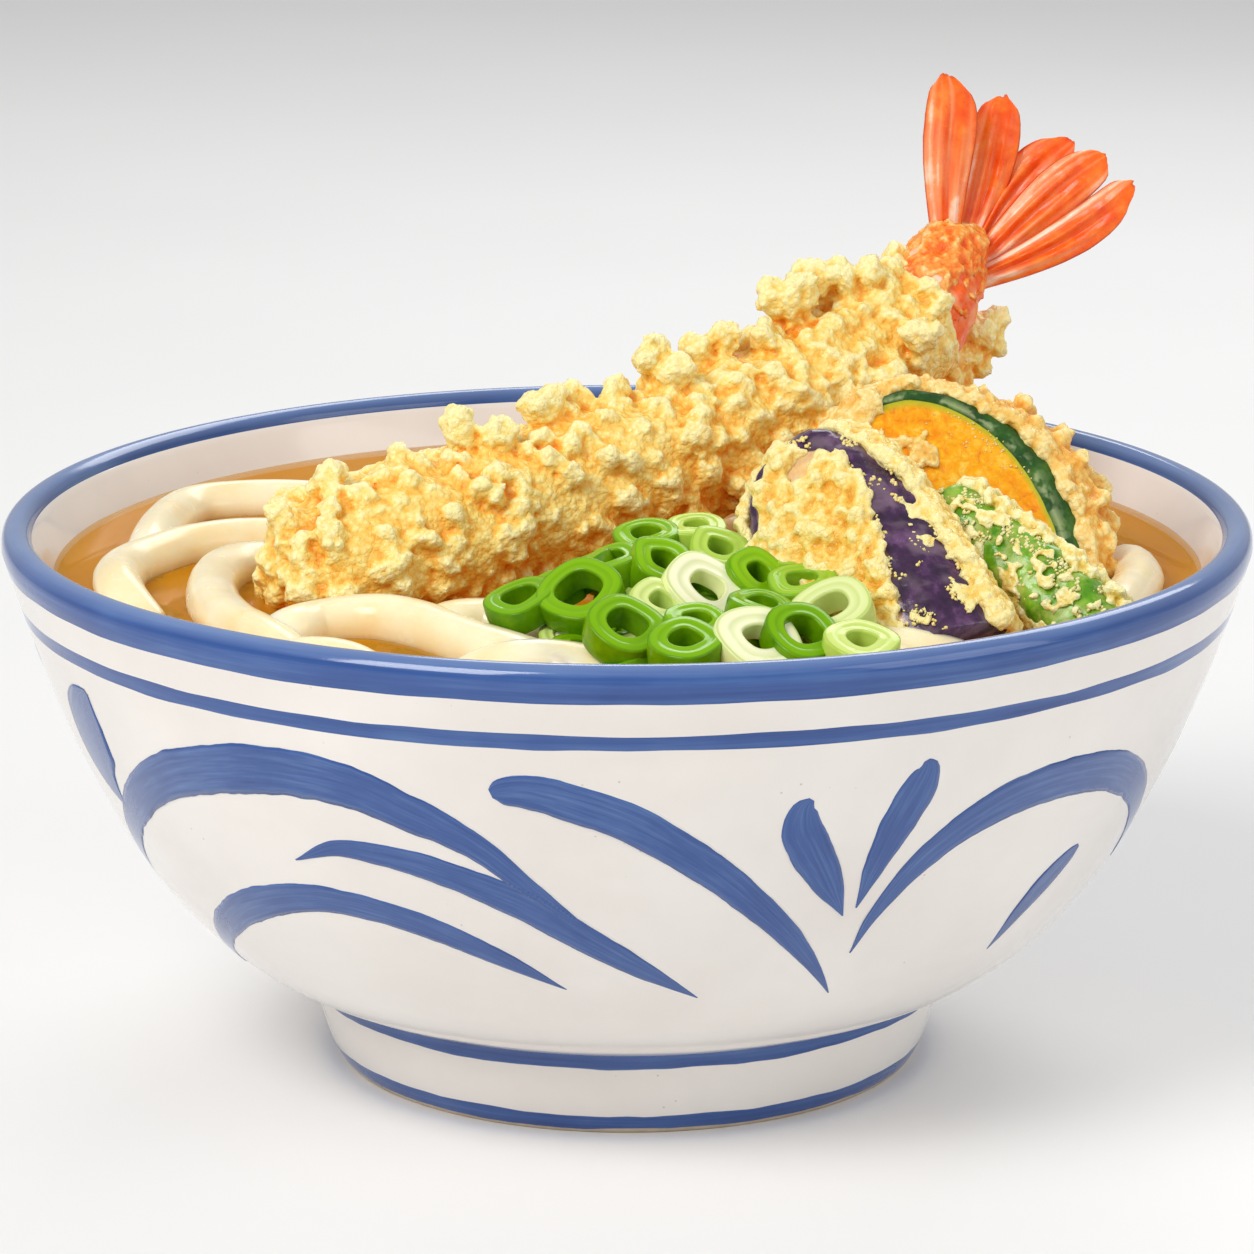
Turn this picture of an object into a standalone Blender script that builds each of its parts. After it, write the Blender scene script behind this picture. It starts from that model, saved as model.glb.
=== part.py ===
"""Udon noodle bowl: a footed stoneware bowl of broth and noodles, topped with prawn tempura,
aubergine, pumpkin and green pepper tempura and a heap of sliced spring onion.

Metres, +Z up. The origin is on the table under the middle of the foot. +Y points to the back,
+X to the right. Lists of places are written in millimetres and turned into metres by mm().
"""
import math

import bmesh
import bpy
from mathutils import Vector, noise

MM = 0.001
GAP = 0.35 * MM

# Bowl
RIM_RADIUS = 100.0 * MM
RIM_HEIGHT = 89.1 * MM
LIP_WIDTH = 4.8 * MM
FOOT_HEIGHT = 14.4 * MM
FOOT_TOP_RADIUS = 51.6 * MM
FOOT_BOTTOM_RADIUS = 46.6 * MM
FOOT_RING_WIDTH = 5.4 * MM
RECESS_HEIGHT = 9.0 * MM
FLOOR_HEIGHT = 16.0 * MM
CENTRE_RING = 8.0 * MM
LIP_ROUNDING = 2.6 * MM
OUTER_HANDLES = ((78.0 * MM, 20.8 * MM), (92.4 * MM, 60.0 * MM))
INNER_HANDLES = ((78.0 * MM, FLOOR_HEIGHT), (76.5 * MM, 54.0 * MM))
AROUND = 40

# Contents
BROTH_LEVEL = 80.5 * MM
NOODLE_RADIUS = 3.9 * MM
NOODLE_BED = 79.1 * MM
BED_RADIUS = 84.0 * MM
BED_WALL_GAP = 3.0 * MM
MOUND_HEIGHT = 17.0 * MM
MOUND_WIDTH = 15.0 * MM
MOUND_PLACE = (26.0, 12.0)
PRAWN_RADIUS = 14.2 * MM
BATTER_LUMP = 3.0 * MM

# Routes of the noodles that break the surface, each from one buried end to the other
NOODLE_ROUTES = (
    ((-78, -6, 77), (-77, 4, 81.5), (-76, 18, 82), (-73, 30, 82), (-66, 35, 82), (-56, 36, 82),
     (-46, 34, 81.5), (-37, 31, 80), (-30, 27, 76)),
    ((-73, -35, 76), (-79, -26, 81.5), (-80, -13, 82), (-76, -4, 82), (-71, 3, 82), (-63, 8, 82),
     (-55, 9, 81.5), (-47, 6, 80), (-40, 3, 76)),
    ((-46, -3, 76), (-55, -6, 81), (-62, -10, 82), (-65, -20, 82), (-64, -34, 82), (-60, -47, 82),
     (-53, -58, 81), (-48, -66, 77)),
    ((-59, -54, 77), (-52, -53, 82), (-47, -48, 82.5), (-39, -47, 83), (-32, -51, 83),
     (-24, -60, 82.5), (-16, -67, 82), (-7, -72, 80), (2, -75, 76)),
    ((-34, -45, 77), (-28, -49, 82), (-21, -48, 82.5), (-13, -53, 82), (-7, -61, 81), (0, -66, 77)),
    ((-27, -70, 77), (-19, -70, 81), (-10, -70, 81.5), (-1, -74, 80), (8, -78, 76)),
    ((24, -60, 77), (31, -61, 81.5), (38, -64, 82.5), (45, -66, 82), (50, -64, 80), (53, -60, 76)),
    ((66, -46, 77), (74, -39, 81), (79, -26, 82), (81, -16, 82), (80, -6, 81), (77, 4, 77)),
    ((-55, -58, 76), (-49, -64, 80.5), (-41, -67, 80.5), (-34, -69, 76)),
)

PRAWN_ROUTE = ((-56, -31, 85), (-46, -27, 86.5), (-34, -21, 88.5), (-20, -12, 91), (-4, -2, 94.5),
               (12, 9, 98.5), (27, 20, 103.5), (39, 30, 108.5), (47, 37, 113.5))
TAIL_SHELL_ROUTE = ((45, 35, 107), (49.5, 40, 113.5), (53, 45, 120), (54.8, 47.5, 125))
TAIL_BLADES = (
    ((52.5, 47, 123), (54.5, 49, 152), 4.7),
    ((56, 50, 124), (61.5, 55, 146), 4.2),
    ((56.5, 50, 122), (73.3, 57, 138.5), 3.9),
    ((57.5, 49, 121), (79, 53, 136.6), 4.1),
    ((56.5, 47, 119), (84.3, 49, 131.8), 4.2),
)


def mm(point):
    """A place given in millimetres, in metres."""
    return Vector(point) * MM


def clear_scene():
    for thing in list(bpy.data.objects):
        bpy.data.objects.remove(thing)


def plain_material(name, colour, roughness):
    material = bpy.data.materials.new(name)
    material.use_nodes = True
    shader = material.node_tree.nodes["Principled BSDF"]
    shader.inputs["Base Color"].default_value = (*colour, 1.0)
    shader.inputs["Roughness"].default_value = roughness
    shader.inputs["Metallic"].default_value = 0.0
    material.diffuse_color = (*colour, 1.0)
    return material


def cubic(start, leave, arrive, end, count):
    """Points along a cubic Bezier curve, both ends included."""
    points = []
    for step in range(count):
        t = step / (count - 1)
        weights = ((1 - t) ** 3, 3 * (1 - t) ** 2 * t, 3 * (1 - t) * t * t, t ** 3)
        points.append(tuple(sum(w * p[axis] for w, p in zip(weights, (start, leave, arrive, end)))
                            for axis in range(2)))
    return points


def smooth_route(places, spacing):
    """Evenly spaced points of a Catmull-Rom curve through the places, in metres."""
    knots = [mm(place) for place in places]
    knots = [2 * knots[0] - knots[1], *knots, 2 * knots[-1] - knots[-2]]
    fine = []
    for a, b, c, d in zip(knots, knots[1:], knots[2:], knots[3:]):
        for step in range(12):
            t = step / 12
            fine.append(0.5 * (2 * b + (c - a) * t + (2 * a - 5 * b + 4 * c - d) * t * t
                               + (3 * b - a - 3 * c + d) * t ** 3))
    fine.append(knots[-2])
    lengths = [0.0]
    for a, b in zip(fine, fine[1:]):
        lengths.append(lengths[-1] + (b - a).length)
    count = max(2, round(lengths[-1] / spacing))
    route = []
    segment = 0
    for step in range(count + 1):
        target = lengths[-1] * step / count
        while segment < len(fine) - 2 and lengths[segment + 1] < target:
            segment += 1
        share = (target - lengths[segment]) / (lengths[segment + 1] - lengths[segment])
        route.append(fine[segment].lerp(fine[segment + 1], share))
    return route


def mesh_through_rings(name, rings):
    """One closed body through rings of equal count, closed by a fan at both ends."""
    bm = bmesh.new()
    loops = [[bm.verts.new(point) for point in ring] for ring in rings]
    count = len(loops[0])
    for near, far in zip(loops, loops[1:]):
        for i in range(count):
            j = (i + 1) % count
            bm.faces.new((near[i], near[j], far[j], far[i]))
    for loop in (loops[0], loops[-1]):
        middle = bm.verts.new(sum((vert.co for vert in loop), Vector()) / count)
        for i in range(count):
            bm.faces.new((loop[i], loop[(i + 1) % count], middle))
    bmesh.ops.recalc_face_normals(bm, faces=bm.faces)
    bmesh.ops.triangulate(bm, faces=bm.faces)
    mesh = bpy.data.meshes.new(name)
    bm.to_mesh(mesh)
    bm.free()
    return mesh


def add_object(name, mesh, material=None):
    thing = bpy.data.objects.new(name, mesh)
    bpy.context.scene.collection.objects.link(thing)
    mesh.shade_smooth()
    mesh.set_sharp_from_angle(angle=math.radians(40))
    if material:
        mesh.materials.append(material)
    return thing


def add_cutter(name, mesh):
    cutter = add_object(name, mesh)
    cutter.hide_render = True
    cutter.display_type = "WIRE"
    return cutter


def combine(target, other, operation):
    modifier = target.modifiers.new(operation.title() + "_" + other.name, "BOOLEAN")
    modifier.object = other
    modifier.operation = operation
    modifier.solver = "EXACT"


def cut(target, cutters):
    for cutter in cutters:
        combine(target, cutter, "DIFFERENCE")


def section_axes(direction, up):
    """Two unit axes across a direction, the second one as near to up as it can be."""
    side = direction.cross(up).normalized()
    return side, side.cross(direction).normalized()


def route_directions(route):
    ahead = [*route[1:], 2 * route[-1] - route[-2]]
    behind = [2 * route[0] - route[1], *route[:-1]]
    return [(a - b).normalized() for a, b in zip(ahead, behind)]


def tube_rings(route, radii, sides, flat=1.0, up=Vector((0, 0, 1))):
    """Rings of an elliptical tube along a route; flat scales its height across."""
    rings = []
    for point, direction, radius in zip(route, route_directions(route), radii):
        side, rise = section_axes(direction, up)
        rings.append([point + radius * math.cos(a) * side + flat * radius * math.sin(a) * rise
                      for a in (math.tau * i / sides for i in range(sides))])
    return rings


def turned_mesh(name, profile):
    """A profile of (radius, height) turned about Z; its first and last points lie near the axis."""
    rings = [[Vector((radius * math.cos(a), radius * math.sin(a), height))
              for a in (math.tau * i / AROUND for i in range(AROUND))]
             for radius, height in profile]
    return mesh_through_rings(name, rings)


def swollen(rings, grow, caps=1):
    """Rings pushed out by a clearance; the last few rings at either end move lengthwise too."""
    middles = [sum(ring, Vector()) / len(ring) for ring in rings]
    start = (middles[0] - middles[caps]).normalized()
    end = (middles[-1] - middles[-1 - caps]).normalized()
    grown = []
    for i, (ring, middle) in enumerate(zip(rings, middles)):
        shift = grow * start if i < caps else (grow * end if i >= len(rings) - caps else Vector())
        grown.append([point + shift + grow * (point - middle).normalized() for point in ring])
    return grown


def lumpy(rings, centre_line, size, spread, seed):
    """Pushes ring points in or out by smooth noise, to look like a crust of batter."""
    shifted = []
    for ring, centre in zip(rings, centre_line):
        moved = []
        for point in ring:
            outward = (point - centre).normalized()
            push = noise.noise(point / spread + Vector((seed, 0, 0)))
            push += 0.5 * noise.noise(2.3 * point / spread + Vector((0, seed, 0)))
            moved.append(point + outward * size * push)
        shifted.append(moved)
    return shifted


# ---------------------------------------------------------------- bowl

def outer_wall():
    return cubic((FOOT_TOP_RADIUS, FOOT_HEIGHT), *OUTER_HANDLES,
                 (RIM_RADIUS, RIM_HEIGHT - 3.5 * MM), 9)


def inner_wall():
    lip_edge = (RIM_RADIUS - LIP_WIDTH, RIM_HEIGHT - 2.1 * MM)
    return cubic((CENTRE_RING, FLOOR_HEIGHT), *INNER_HANDLES, lip_edge, 8)


def lip():
    """The rolled lip, from the outer wall over the crest to the inner wall."""
    middle = RIM_RADIUS - LIP_WIDTH / 2
    base = RIM_HEIGHT - LIP_ROUNDING
    angles = (math.radians(a) for a in (15, 50, 90, 130, 165))
    return [(middle + LIP_WIDTH / 2 * math.cos(a), base + LIP_ROUNDING * math.sin(a))
            for a in angles]


def wall_offset(distance):
    """The inner wall's profile moved a distance into the bowl."""
    wall = inner_wall()
    moved = []
    for i, (r, z) in enumerate(wall):
        before, after = wall[max(0, i - 1)], wall[min(len(wall) - 1, i + 1)]
        along = Vector((after[0] - before[0], after[1] - before[1])).normalized()
        moved.append((r - distance * along.y, z + distance * along.x))
    return moved


def inner_radius(height):
    """Radius of the inner wall at a height, read off the polygon that the solid has."""
    profile = inner_wall()
    if height <= profile[0][1]:
        return profile[0][0]
    for (r0, z0), (r1, z1) in zip(profile, profile[1:]):
        if z0 <= height <= z1:
            return r0 + (r1 - r0) * (height - z0) / (z1 - z0)
    return profile[-1][0]


def build_bowl():
    foot_inner = FOOT_BOTTOM_RADIUS - FOOT_RING_WIDTH
    profile = [
        (CENTRE_RING, RECESS_HEIGHT),
        (foot_inner - 4.0 * MM, RECESS_HEIGHT),
        (foot_inner - 1.0 * MM, RECESS_HEIGHT - 2.0 * MM),
        (foot_inner, 0.0),
        (FOOT_BOTTOM_RADIUS, 0.0),
        (FOOT_BOTTOM_RADIUS + 1.9 * MM, 2.6 * MM),
        (FOOT_BOTTOM_RADIUS + 3.6 * MM, 8.0 * MM),
    ]
    profile += outer_wall() + lip() + inner_wall()[::-1]
    glaze = plain_material("glazed_stoneware", (0.82, 0.79, 0.76), 0.15)
    return add_object("bowl", turned_mesh("bowl", profile), glaze)


# ---------------------------------------------------------------- broth and noodles

def build_broth(cutters):
    wall = [(r, z) for r, z in wall_offset(GAP) if z < BROTH_LEVEL - 2 * MM]
    edge = inner_radius(BROTH_LEVEL - GAP) - GAP
    profile = wall + [(edge, BROTH_LEVEL), (edge * 0.5, BROTH_LEVEL)]
    soup = plain_material("amber_broth", (0.62, 0.33, 0.09), 0.08)
    broth = add_object("broth", turned_mesh("broth", profile), soup)
    cut(broth, cutters)
    return broth


def bed_height(x, y):
    """Top of the noodle bed, which rises to a mound under the prawn."""
    away = (x / MM - MOUND_PLACE[0]) ** 2 + (y / MM - MOUND_PLACE[1]) ** 2
    mound = math.exp(-away * MM * MM / (2 * MOUND_WIDTH ** 2))
    relief = noise.noise(Vector((x, y, 0)) / (9 * MM)) * (0.6 + 2.0 * mound) * MM
    return NOODLE_BED + MOUND_HEIGHT * mound + relief


def bed_edge(angle):
    """Radius of the noodle bed: less at the back left, where only broth shows."""
    turn = math.degrees(angle) % 360
    share = max(0.0, min(1.0, min(turn - 35, 165 - turn) / 30))
    return BED_RADIUS - 28 * MM * share * share * (3 - 2 * share)


def bed_rings(grow):
    sides = 26
    angles = [math.tau * i / sides for i in range(sides)]
    rings = []
    for wall_radius, height in wall_offset(BED_WALL_GAP - grow)[1:]:
        if height < NOODLE_BED - 8 * MM:
            reach = [min(wall_radius, bed_edge(a) + grow) for a in angles]
            rings.append([Vector((r * math.cos(a), r * math.sin(a), height))
                          for a, r in zip(angles, reach)])
    for share in (1.0, 0.8, 0.6, 0.42, 0.22):
        ring = []
        for a in angles:
            r = share * bed_edge(a) + grow * (share == 1.0)
            x, y = r * math.cos(a), r * math.sin(a)
            drop = 2.0 * MM if share == 1.0 else 0.0
            ring.append(Vector((x, y, bed_height(x, y) - drop + grow)))
        rings.append(ring)
    return rings


def noodle_solids(name, grow):
    """The noodle bed and its surface strands, joined by Boolean unions."""
    bed = add_object(name, mesh_through_rings(name, bed_rings(grow)))
    for number, places in enumerate(NOODLE_ROUTES):
        route = smooth_route(places, 9.5 * MM)
        radii = [NOODLE_RADIUS + grow] * len(route)
        strand = mesh_through_rings("strand", tube_rings(route, radii, 6))
        combine(bed, add_cutter("%s_strand_%d" % (name, number), strand), "UNION")
    return bed


def build_noodles(cutters):
    heap = noodle_solids("noodle_heap", 0.0)
    heap.data.materials.append(plain_material("udon_noodle", (0.93, 0.80, 0.56), 0.35))
    cut(heap, cutters)
    return heap


# ---------------------------------------------------------------- prawn

def prawn_rings(grow):
    route = smooth_route(PRAWN_ROUTE, 5.2 * MM)
    last = len(route) - 1
    radii = []
    for step in range(last + 1):
        t = step / last
        body = math.sqrt(max(0.05, 1 - (1 - min(1.0, t / 0.12)) ** 2)) * (1 - 0.16 * t)
        radii.append(PRAWN_RADIUS * body * (0.78 if step == last else 1.0))
    return swollen(lumpy(tube_rings(route, radii, 14), route, BATTER_LUMP, 8 * MM, 3.0), grow)


def build_prawn(cutters):
    batter = plain_material("tempura_batter", (0.90, 0.66, 0.27), 0.7)
    coat = add_object("prawn_coat", mesh_through_rings("prawn_coat", prawn_rings(0.0)), batter)
    cut(coat, cutters)
    return coat


def blade_mesh(base, tip, half_width, grow):
    """A flat tail blade, widest past its middle and pointed at its tip."""
    start, end = mm(base), mm(tip)
    stations = 8
    route = [start.lerp(end, i / (stations - 1)) for i in range(stations)]
    radii = []
    for i in range(stations):
        t = i / (stations - 1)
        radii.append(half_width * MM * (0.45 + 0.55 * math.sin(math.pi * min(1.0, 0.15 + t * 0.85) ** 1.2))
                     * (1.0 if i < stations - 1 else 0.45) + grow)
    return mesh_through_rings("blade", tube_rings(route, radii, 6, 0.32, Vector((0, -1, 0.25))))


def tail_solids(name, grow):
    route = smooth_route(TAIL_SHELL_ROUTE, 4 * MM)
    last = len(route) - 1
    radii = [(6.4 + 1.8 * math.sin(math.pi * i / last) - 0.8 * i / last) * MM + grow
             for i in range(last + 1)]
    tail = add_object(name, mesh_through_rings(name, tube_rings(route, radii, 10)))
    for number, (base, tip, half_width) in enumerate(TAIL_BLADES):
        blade = add_cutter("%s_blade_%d" % (name, number), blade_mesh(base, tip, half_width, grow))
        combine(tail, blade, "UNION")
    return tail


def build_tail():
    tail = tail_solids("prawn_tail", 0.0)
    tail.data.materials.append(plain_material("prawn_shell", (0.93, 0.20, 0.04), 0.25))
    return tail


# ---------------------------------------------------------------- vegetable tempura

AUBERGINE_TOP = (28.5, -31, 107.5)
AUBERGINE_BOTTOM = (42.5, -62, 79)
AUBERGINE_FACE = (-0.385, -0.694, 0.609)
AUBERGINE_HALF_WIDTH = 18.5 * MM
AUBERGINE_HALF_DEPTH = 7.0 * MM

PUMPKIN_CENTRE = (51.5, -21, 89)
PUMPKIN_RIGHT = (0.975, 0.20, 0.10)
PUMPKIN_UP = (-0.12, 0.48, 0.87)
PUMPKIN_RADIUS = 22.0 * MM
PUMPKIN_DEPTH = 12.0 * MM

PEPPER_ROUTE = ((48.5, -34, 98.5), (51.5, -37, 97), (58, -43.5, 92.5), (64, -49, 88.5), (69, -53.5, 84))
PEPPER_RADIUS = 5.4 * MM


def aubergine_mesh(grow):
    """A wide slice that leans back: flat cut face to the front, rounded skin behind."""
    top, bottom = mm(AUBERGINE_TOP), mm(AUBERGINE_BOTTOM)
    stations = 11
    route = [top.lerp(bottom, (i / (stations - 1)) ** 1.3) for i in range(stations)]
    direction = (bottom - top).normalized()
    face = Vector(AUBERGINE_FACE)
    face = (face - face.dot(direction) * direction).normalized()
    side = face.cross(direction).normalized()
    rings = []
    for i, centre in enumerate(route):
        t = (i / (stations - 1)) ** 1.3
        swell = math.sqrt(max(0.03, 1 - (1 - min(1.0, t / 0.45)) ** 2))
        width = AUBERGINE_HALF_WIDTH * swell * (0.8 + 0.2 * t)
        depth = AUBERGINE_HALF_DEPTH * (0.5 + 0.5 * swell)
        rings.append([centre + width * math.copysign(abs(math.cos(a)) ** 0.8, math.cos(a)) * side
                      + depth * math.copysign(abs(math.sin(a)) ** 0.8, math.sin(a)) * face
                      for a in (math.tau * k / 14 for k in range(14))])
    crusted = lumpy(rings, route, 1.3 * MM, 6 * MM, 7.0)
    return mesh_through_rings("aubergine", swollen(crusted, grow))


def pumpkin_outline(radius):
    """A slice's outline: the round rind side and a nearly straight lower left side."""
    points = []
    for k in range(26):
        a = math.radians(-62 + 360 * k / 26)
        reach = radius if a < math.radians(165) else radius * 0.62
        points.append((reach * math.cos(a), reach * math.sin(a)))
    return points


def pumpkin_mesh(grow):
    right = Vector(PUMPKIN_RIGHT).normalized()
    up = Vector(PUMPKIN_UP)
    up = (up - up.dot(right) * right).normalized()
    front = right.cross(up).normalized()
    centre = mm(PUMPKIN_CENTRE)
    layers = ((0.0, 0.75), (0.0, 0.97), (-2.5, 1.12), (-7.0, 1.24), (-11.0, 1.22), (-12.0, 0.8))
    rings = []
    spine = []
    for back, share in layers:
        middle = centre + front * back * MM
        spine.append(middle)
        rings.append([middle + right * x + up * y
                      for x, y in pumpkin_outline(PUMPKIN_RADIUS * share)])
    shaped = rings[:2] + lumpy(rings[2:5], spine[2:5], 2.2 * MM, 6 * MM, 11.0) + rings[5:]
    return mesh_through_rings("pumpkin", swollen(shaped, grow, 2))


def pepper_mesh(grow):
    """A slim green pepper with a fringe of batter along its right side."""
    route = smooth_route(PEPPER_ROUTE, 3.2 * MM)
    last = len(route) - 1
    rings = []
    for i, (point, direction) in enumerate(zip(route, route_directions(route))):
        side, rise = section_axes(direction, Vector((0, 0, 1)))
        nose = 0.55 if i == 0 else (0.92 if i == 1 else 1.0)
        ring = []
        for k in range(12):
            a = math.tau * k / 12
            fringe = 3.4 * MM * max(0.0, math.cos(a - math.pi)) * min(1.0, i / last * 1.6)
            reach = PEPPER_RADIUS * nose + fringe
            ring.append(point + reach * (math.cos(a) * side + math.sin(a) * rise))
        rings.append(ring)
    crusted = lumpy(rings, route, 0.9 * MM, 5 * MM, 5.0)
    return mesh_through_rings("pepper", swollen(crusted, grow))


# ---------------------------------------------------------------- spring onion

ONION_CENTRE = (8, -60)
ONION_HALF_WIDTH = 29.0 * MM
ONION_HALF_DEPTH = 25.0 * MM
ONION_BOTTOM = 81.2 * MM


def onion_top(x, y):
    """Height of the heap: higher at the back, where it leans on the tempura."""
    lean = (y / MM - ONION_CENTRE[1]) * 0.16 * MM - ((x / MM - ONION_CENTRE[0]) ** 2) * 0.008 * MM
    ripple = 1.3 * MM * math.sin(x / (2.1 * MM)) * math.cos(y / (2.3 * MM) + 1.0)
    return 91.5 * MM + lean + ripple


def onion_mesh(grow):
    sides = 28
    rings = []
    outlines = ((0.55, 0), (0.93, 0), (1.02, 0.25), (1.0, 0.6), (0.84, 1), (0.62, 1), (0.4, 1), (0.18, 1))
    for share, rise in outlines:
        ring = []
        for k in range(sides):
            a = math.tau * k / sides
            wave = share * (1 + 0.05 * math.sin(7 * a) + 0.04 * math.sin(5 * a + 1))
            x = ONION_CENTRE[0] * MM + (ONION_HALF_WIDTH * wave + grow) * math.cos(a)
            y = ONION_CENTRE[1] * MM + (ONION_HALF_DEPTH * wave + grow) * math.sin(a)
            bottom = ONION_BOTTOM - grow
            ring.append(Vector((x, y, bottom + rise * (onion_top(x, y) + grow - bottom))))
        rings.append(ring)
    return mesh_through_rings("onion", rings)


# ---------------------------------------------------------------- assembly

def build():
    clear_scene()
    tail_space = tail_solids("tail_space", GAP)
    tail_space.hide_render = True
    tail_space.display_type = "WIRE"
    noodle_space = noodle_solids("noodle_space", GAP)
    noodle_space.hide_render = True
    noodle_space.display_type = "WIRE"
    coat_space = add_cutter("coat_space", mesh_through_rings("coat_space", prawn_rings(GAP)))
    aubergine_space = add_cutter("aubergine_space", aubergine_mesh(GAP))
    pumpkin_space = add_cutter("pumpkin_space", pumpkin_mesh(GAP))
    pepper_space = add_cutter("pepper_space", pepper_mesh(GAP))
    onion_space = add_cutter("onion_space", onion_mesh(GAP))

    build_bowl()
    build_noodles([coat_space, aubergine_space, pumpkin_space, pepper_space, onion_space])
    build_broth([noodle_space, coat_space, aubergine_space, pumpkin_space, pepper_space,
                 onion_space])
    build_prawn([tail_space, aubergine_space, pumpkin_space])
    build_tail()

    flesh = plain_material("battered_aubergine", (0.72, 0.52, 0.26), 0.6)
    aubergine = add_object("aubergine_slice", aubergine_mesh(0.0), flesh)
    cut(aubergine, [pepper_space])
    orange = plain_material("pumpkin_flesh", (0.90, 0.42, 0.03), 0.5)
    pumpkin = add_object("pumpkin_slice", pumpkin_mesh(0.0), orange)
    cut(pumpkin, [aubergine_space, pepper_space])
    green = plain_material("battered_pepper", (0.16, 0.38, 0.06), 0.4)
    add_object("green_pepper", pepper_mesh(0.0), green)
    leek = plain_material("spring_onion", (0.25, 0.52, 0.06), 0.35)
    onion = add_object("spring_onion_heap", onion_mesh(0.0), leek)
    cut(onion, [coat_space, aubergine_space])


build()
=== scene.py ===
import math

import bmesh
import bpy
import numpy as np
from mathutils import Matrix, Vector


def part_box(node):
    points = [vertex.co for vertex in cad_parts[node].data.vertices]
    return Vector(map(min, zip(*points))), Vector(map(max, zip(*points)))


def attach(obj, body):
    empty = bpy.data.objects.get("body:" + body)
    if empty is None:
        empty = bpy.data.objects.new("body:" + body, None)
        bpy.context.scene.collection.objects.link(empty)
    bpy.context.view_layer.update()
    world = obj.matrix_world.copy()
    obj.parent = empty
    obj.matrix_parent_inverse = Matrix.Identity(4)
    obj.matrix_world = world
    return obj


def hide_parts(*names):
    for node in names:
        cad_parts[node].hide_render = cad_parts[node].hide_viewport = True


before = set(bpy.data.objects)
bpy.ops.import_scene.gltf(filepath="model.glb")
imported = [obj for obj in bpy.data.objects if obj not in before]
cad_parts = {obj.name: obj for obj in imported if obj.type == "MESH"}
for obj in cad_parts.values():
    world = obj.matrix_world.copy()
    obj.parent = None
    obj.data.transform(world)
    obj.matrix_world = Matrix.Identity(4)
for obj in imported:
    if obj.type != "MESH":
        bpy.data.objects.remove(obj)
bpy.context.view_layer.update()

# Lengths in this file are millimetres, as in the CAD's own lists; mesh_from() turns them into metres.
# Lights, camera and floor are the exception: they are in metres.
MM = 0.001
RIM_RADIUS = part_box("bowl")[1].x / MM
RIM_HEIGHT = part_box("bowl")[1].z / MM
BROTH_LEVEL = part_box("broth")[1].z / MM
random = np.random.default_rng(7)


# ================================================================ numbers and meshes

def lattice_noise(points, size, seed=0):
    """Smooth noise from -1 to 1 at each point, with bumps of about the given size."""
    scaled = np.asarray(points, float) / size
    cell = np.floor(scaled).astype(np.int64)
    part = scaled - cell
    part = part * part * (3 - 2 * part)
    total = np.zeros(len(scaled))
    for corner in range(8):
        step = np.array([corner & 1, corner >> 1 & 1, corner >> 2])
        key = (cell + step) @ np.array([73856093, 19349663, 83492791]) + seed * 2654435761
        key = ((key ^ (key >> 13)) * 1274126177) & 0xFFFFFFFF
        key = ((key ^ (key >> 15)) * 2246822519) & 0xFFFFFFFF
        value = ((key >> 8) & 0xFFFF) / 32767.5 - 1
        total += value * np.prod(np.where(step, part, 1 - part), axis=1)
    return total


def layered_noise(points, size, seed=0, layers=3):
    return sum(lattice_noise(points, size / 2 ** k, seed + k) / 2 ** k for k in range(layers))


def unit(vectors):
    vectors = np.asarray(vectors, float)
    return vectors / np.maximum(np.linalg.norm(vectors, axis=-1, keepdims=True), 1e-9)


def circle(count):
    """Evenly spaced angles once round."""
    return np.linspace(0, math.tau, count, endpoint=False)


def round_end(share, least):
    """Share of the full radius near a round end; the share of the way into the body goes to 1."""
    return np.sqrt(np.clip(1 - (1 - np.minimum(1, share)) ** 2, least, 1))


def bell(value, middle, width):
    return np.exp(-((value - middle) / width) ** 2)


def smooth_route(places, spacing):
    """Evenly spaced points of a Catmull-Rom curve through the places."""
    knots = np.array(places, float)
    knots = np.vstack([2 * knots[0] - knots[1], knots, 2 * knots[-1] - knots[-2]])
    fine = []
    for a, b, c, d in zip(knots, knots[1:], knots[2:], knots[3:]):
        t = np.linspace(0, 1, 24, endpoint=False)[:, None]
        fine.append(0.5 * (2 * b + (c - a) * t + (2 * a - 5 * b + 4 * c - d) * t ** 2
                           + (3 * b - a - 3 * c + d) * t ** 3))
    fine = np.vstack([*fine, knots[-2:-1]])
    run = run_along(fine[:, :3])
    count = max(2, int(round(run[-1] / spacing))) + 1
    marks = np.linspace(0, run[-1], count)
    return np.stack([np.interp(marks, run, fine[:, k]) for k in range(fine.shape[1])], axis=1)


def axes_along(route, up=(0, 0, 1)):
    """Direction, side and rise at each point of a route."""
    direction = unit(np.gradient(route, axis=0))
    side = unit(np.cross(direction, np.array(up, float)))
    return direction, side, np.cross(side, direction)


def round_directions(angles, side, rise):
    """Unit directions (rows, angles, 3) round a route: from its side towards its rise."""
    return (np.cos(angles)[None, :, None] * side[:, None]
            + np.sin(angles)[None, :, None] * rise[:, None])


def level_ring(radius, angles, height):
    """A closed ring of points (angles, 3) round the bowl's axis."""
    return np.stack([radius * np.cos(angles), radius * np.sin(angles), angles * 0 + height], 1)


def run_along(points):
    """Distance covered at each point of a route."""
    steps = np.linalg.norm(np.diff(points, axis=0), axis=1)
    return np.concatenate([[0], np.cumsum(steps)])


def ring_faces(rows, columns):
    """Quads between closed rings of points, row after row."""
    row, column = np.meshgrid(np.arange(rows - 1), np.arange(columns), indexing="ij")
    nxt = (column + 1) % columns
    quads = np.stack([row * columns + column, row * columns + nxt,
                      (row + 1) * columns + nxt, (row + 1) * columns + column], axis=-1)
    return quads.reshape(-1, 4)


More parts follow.
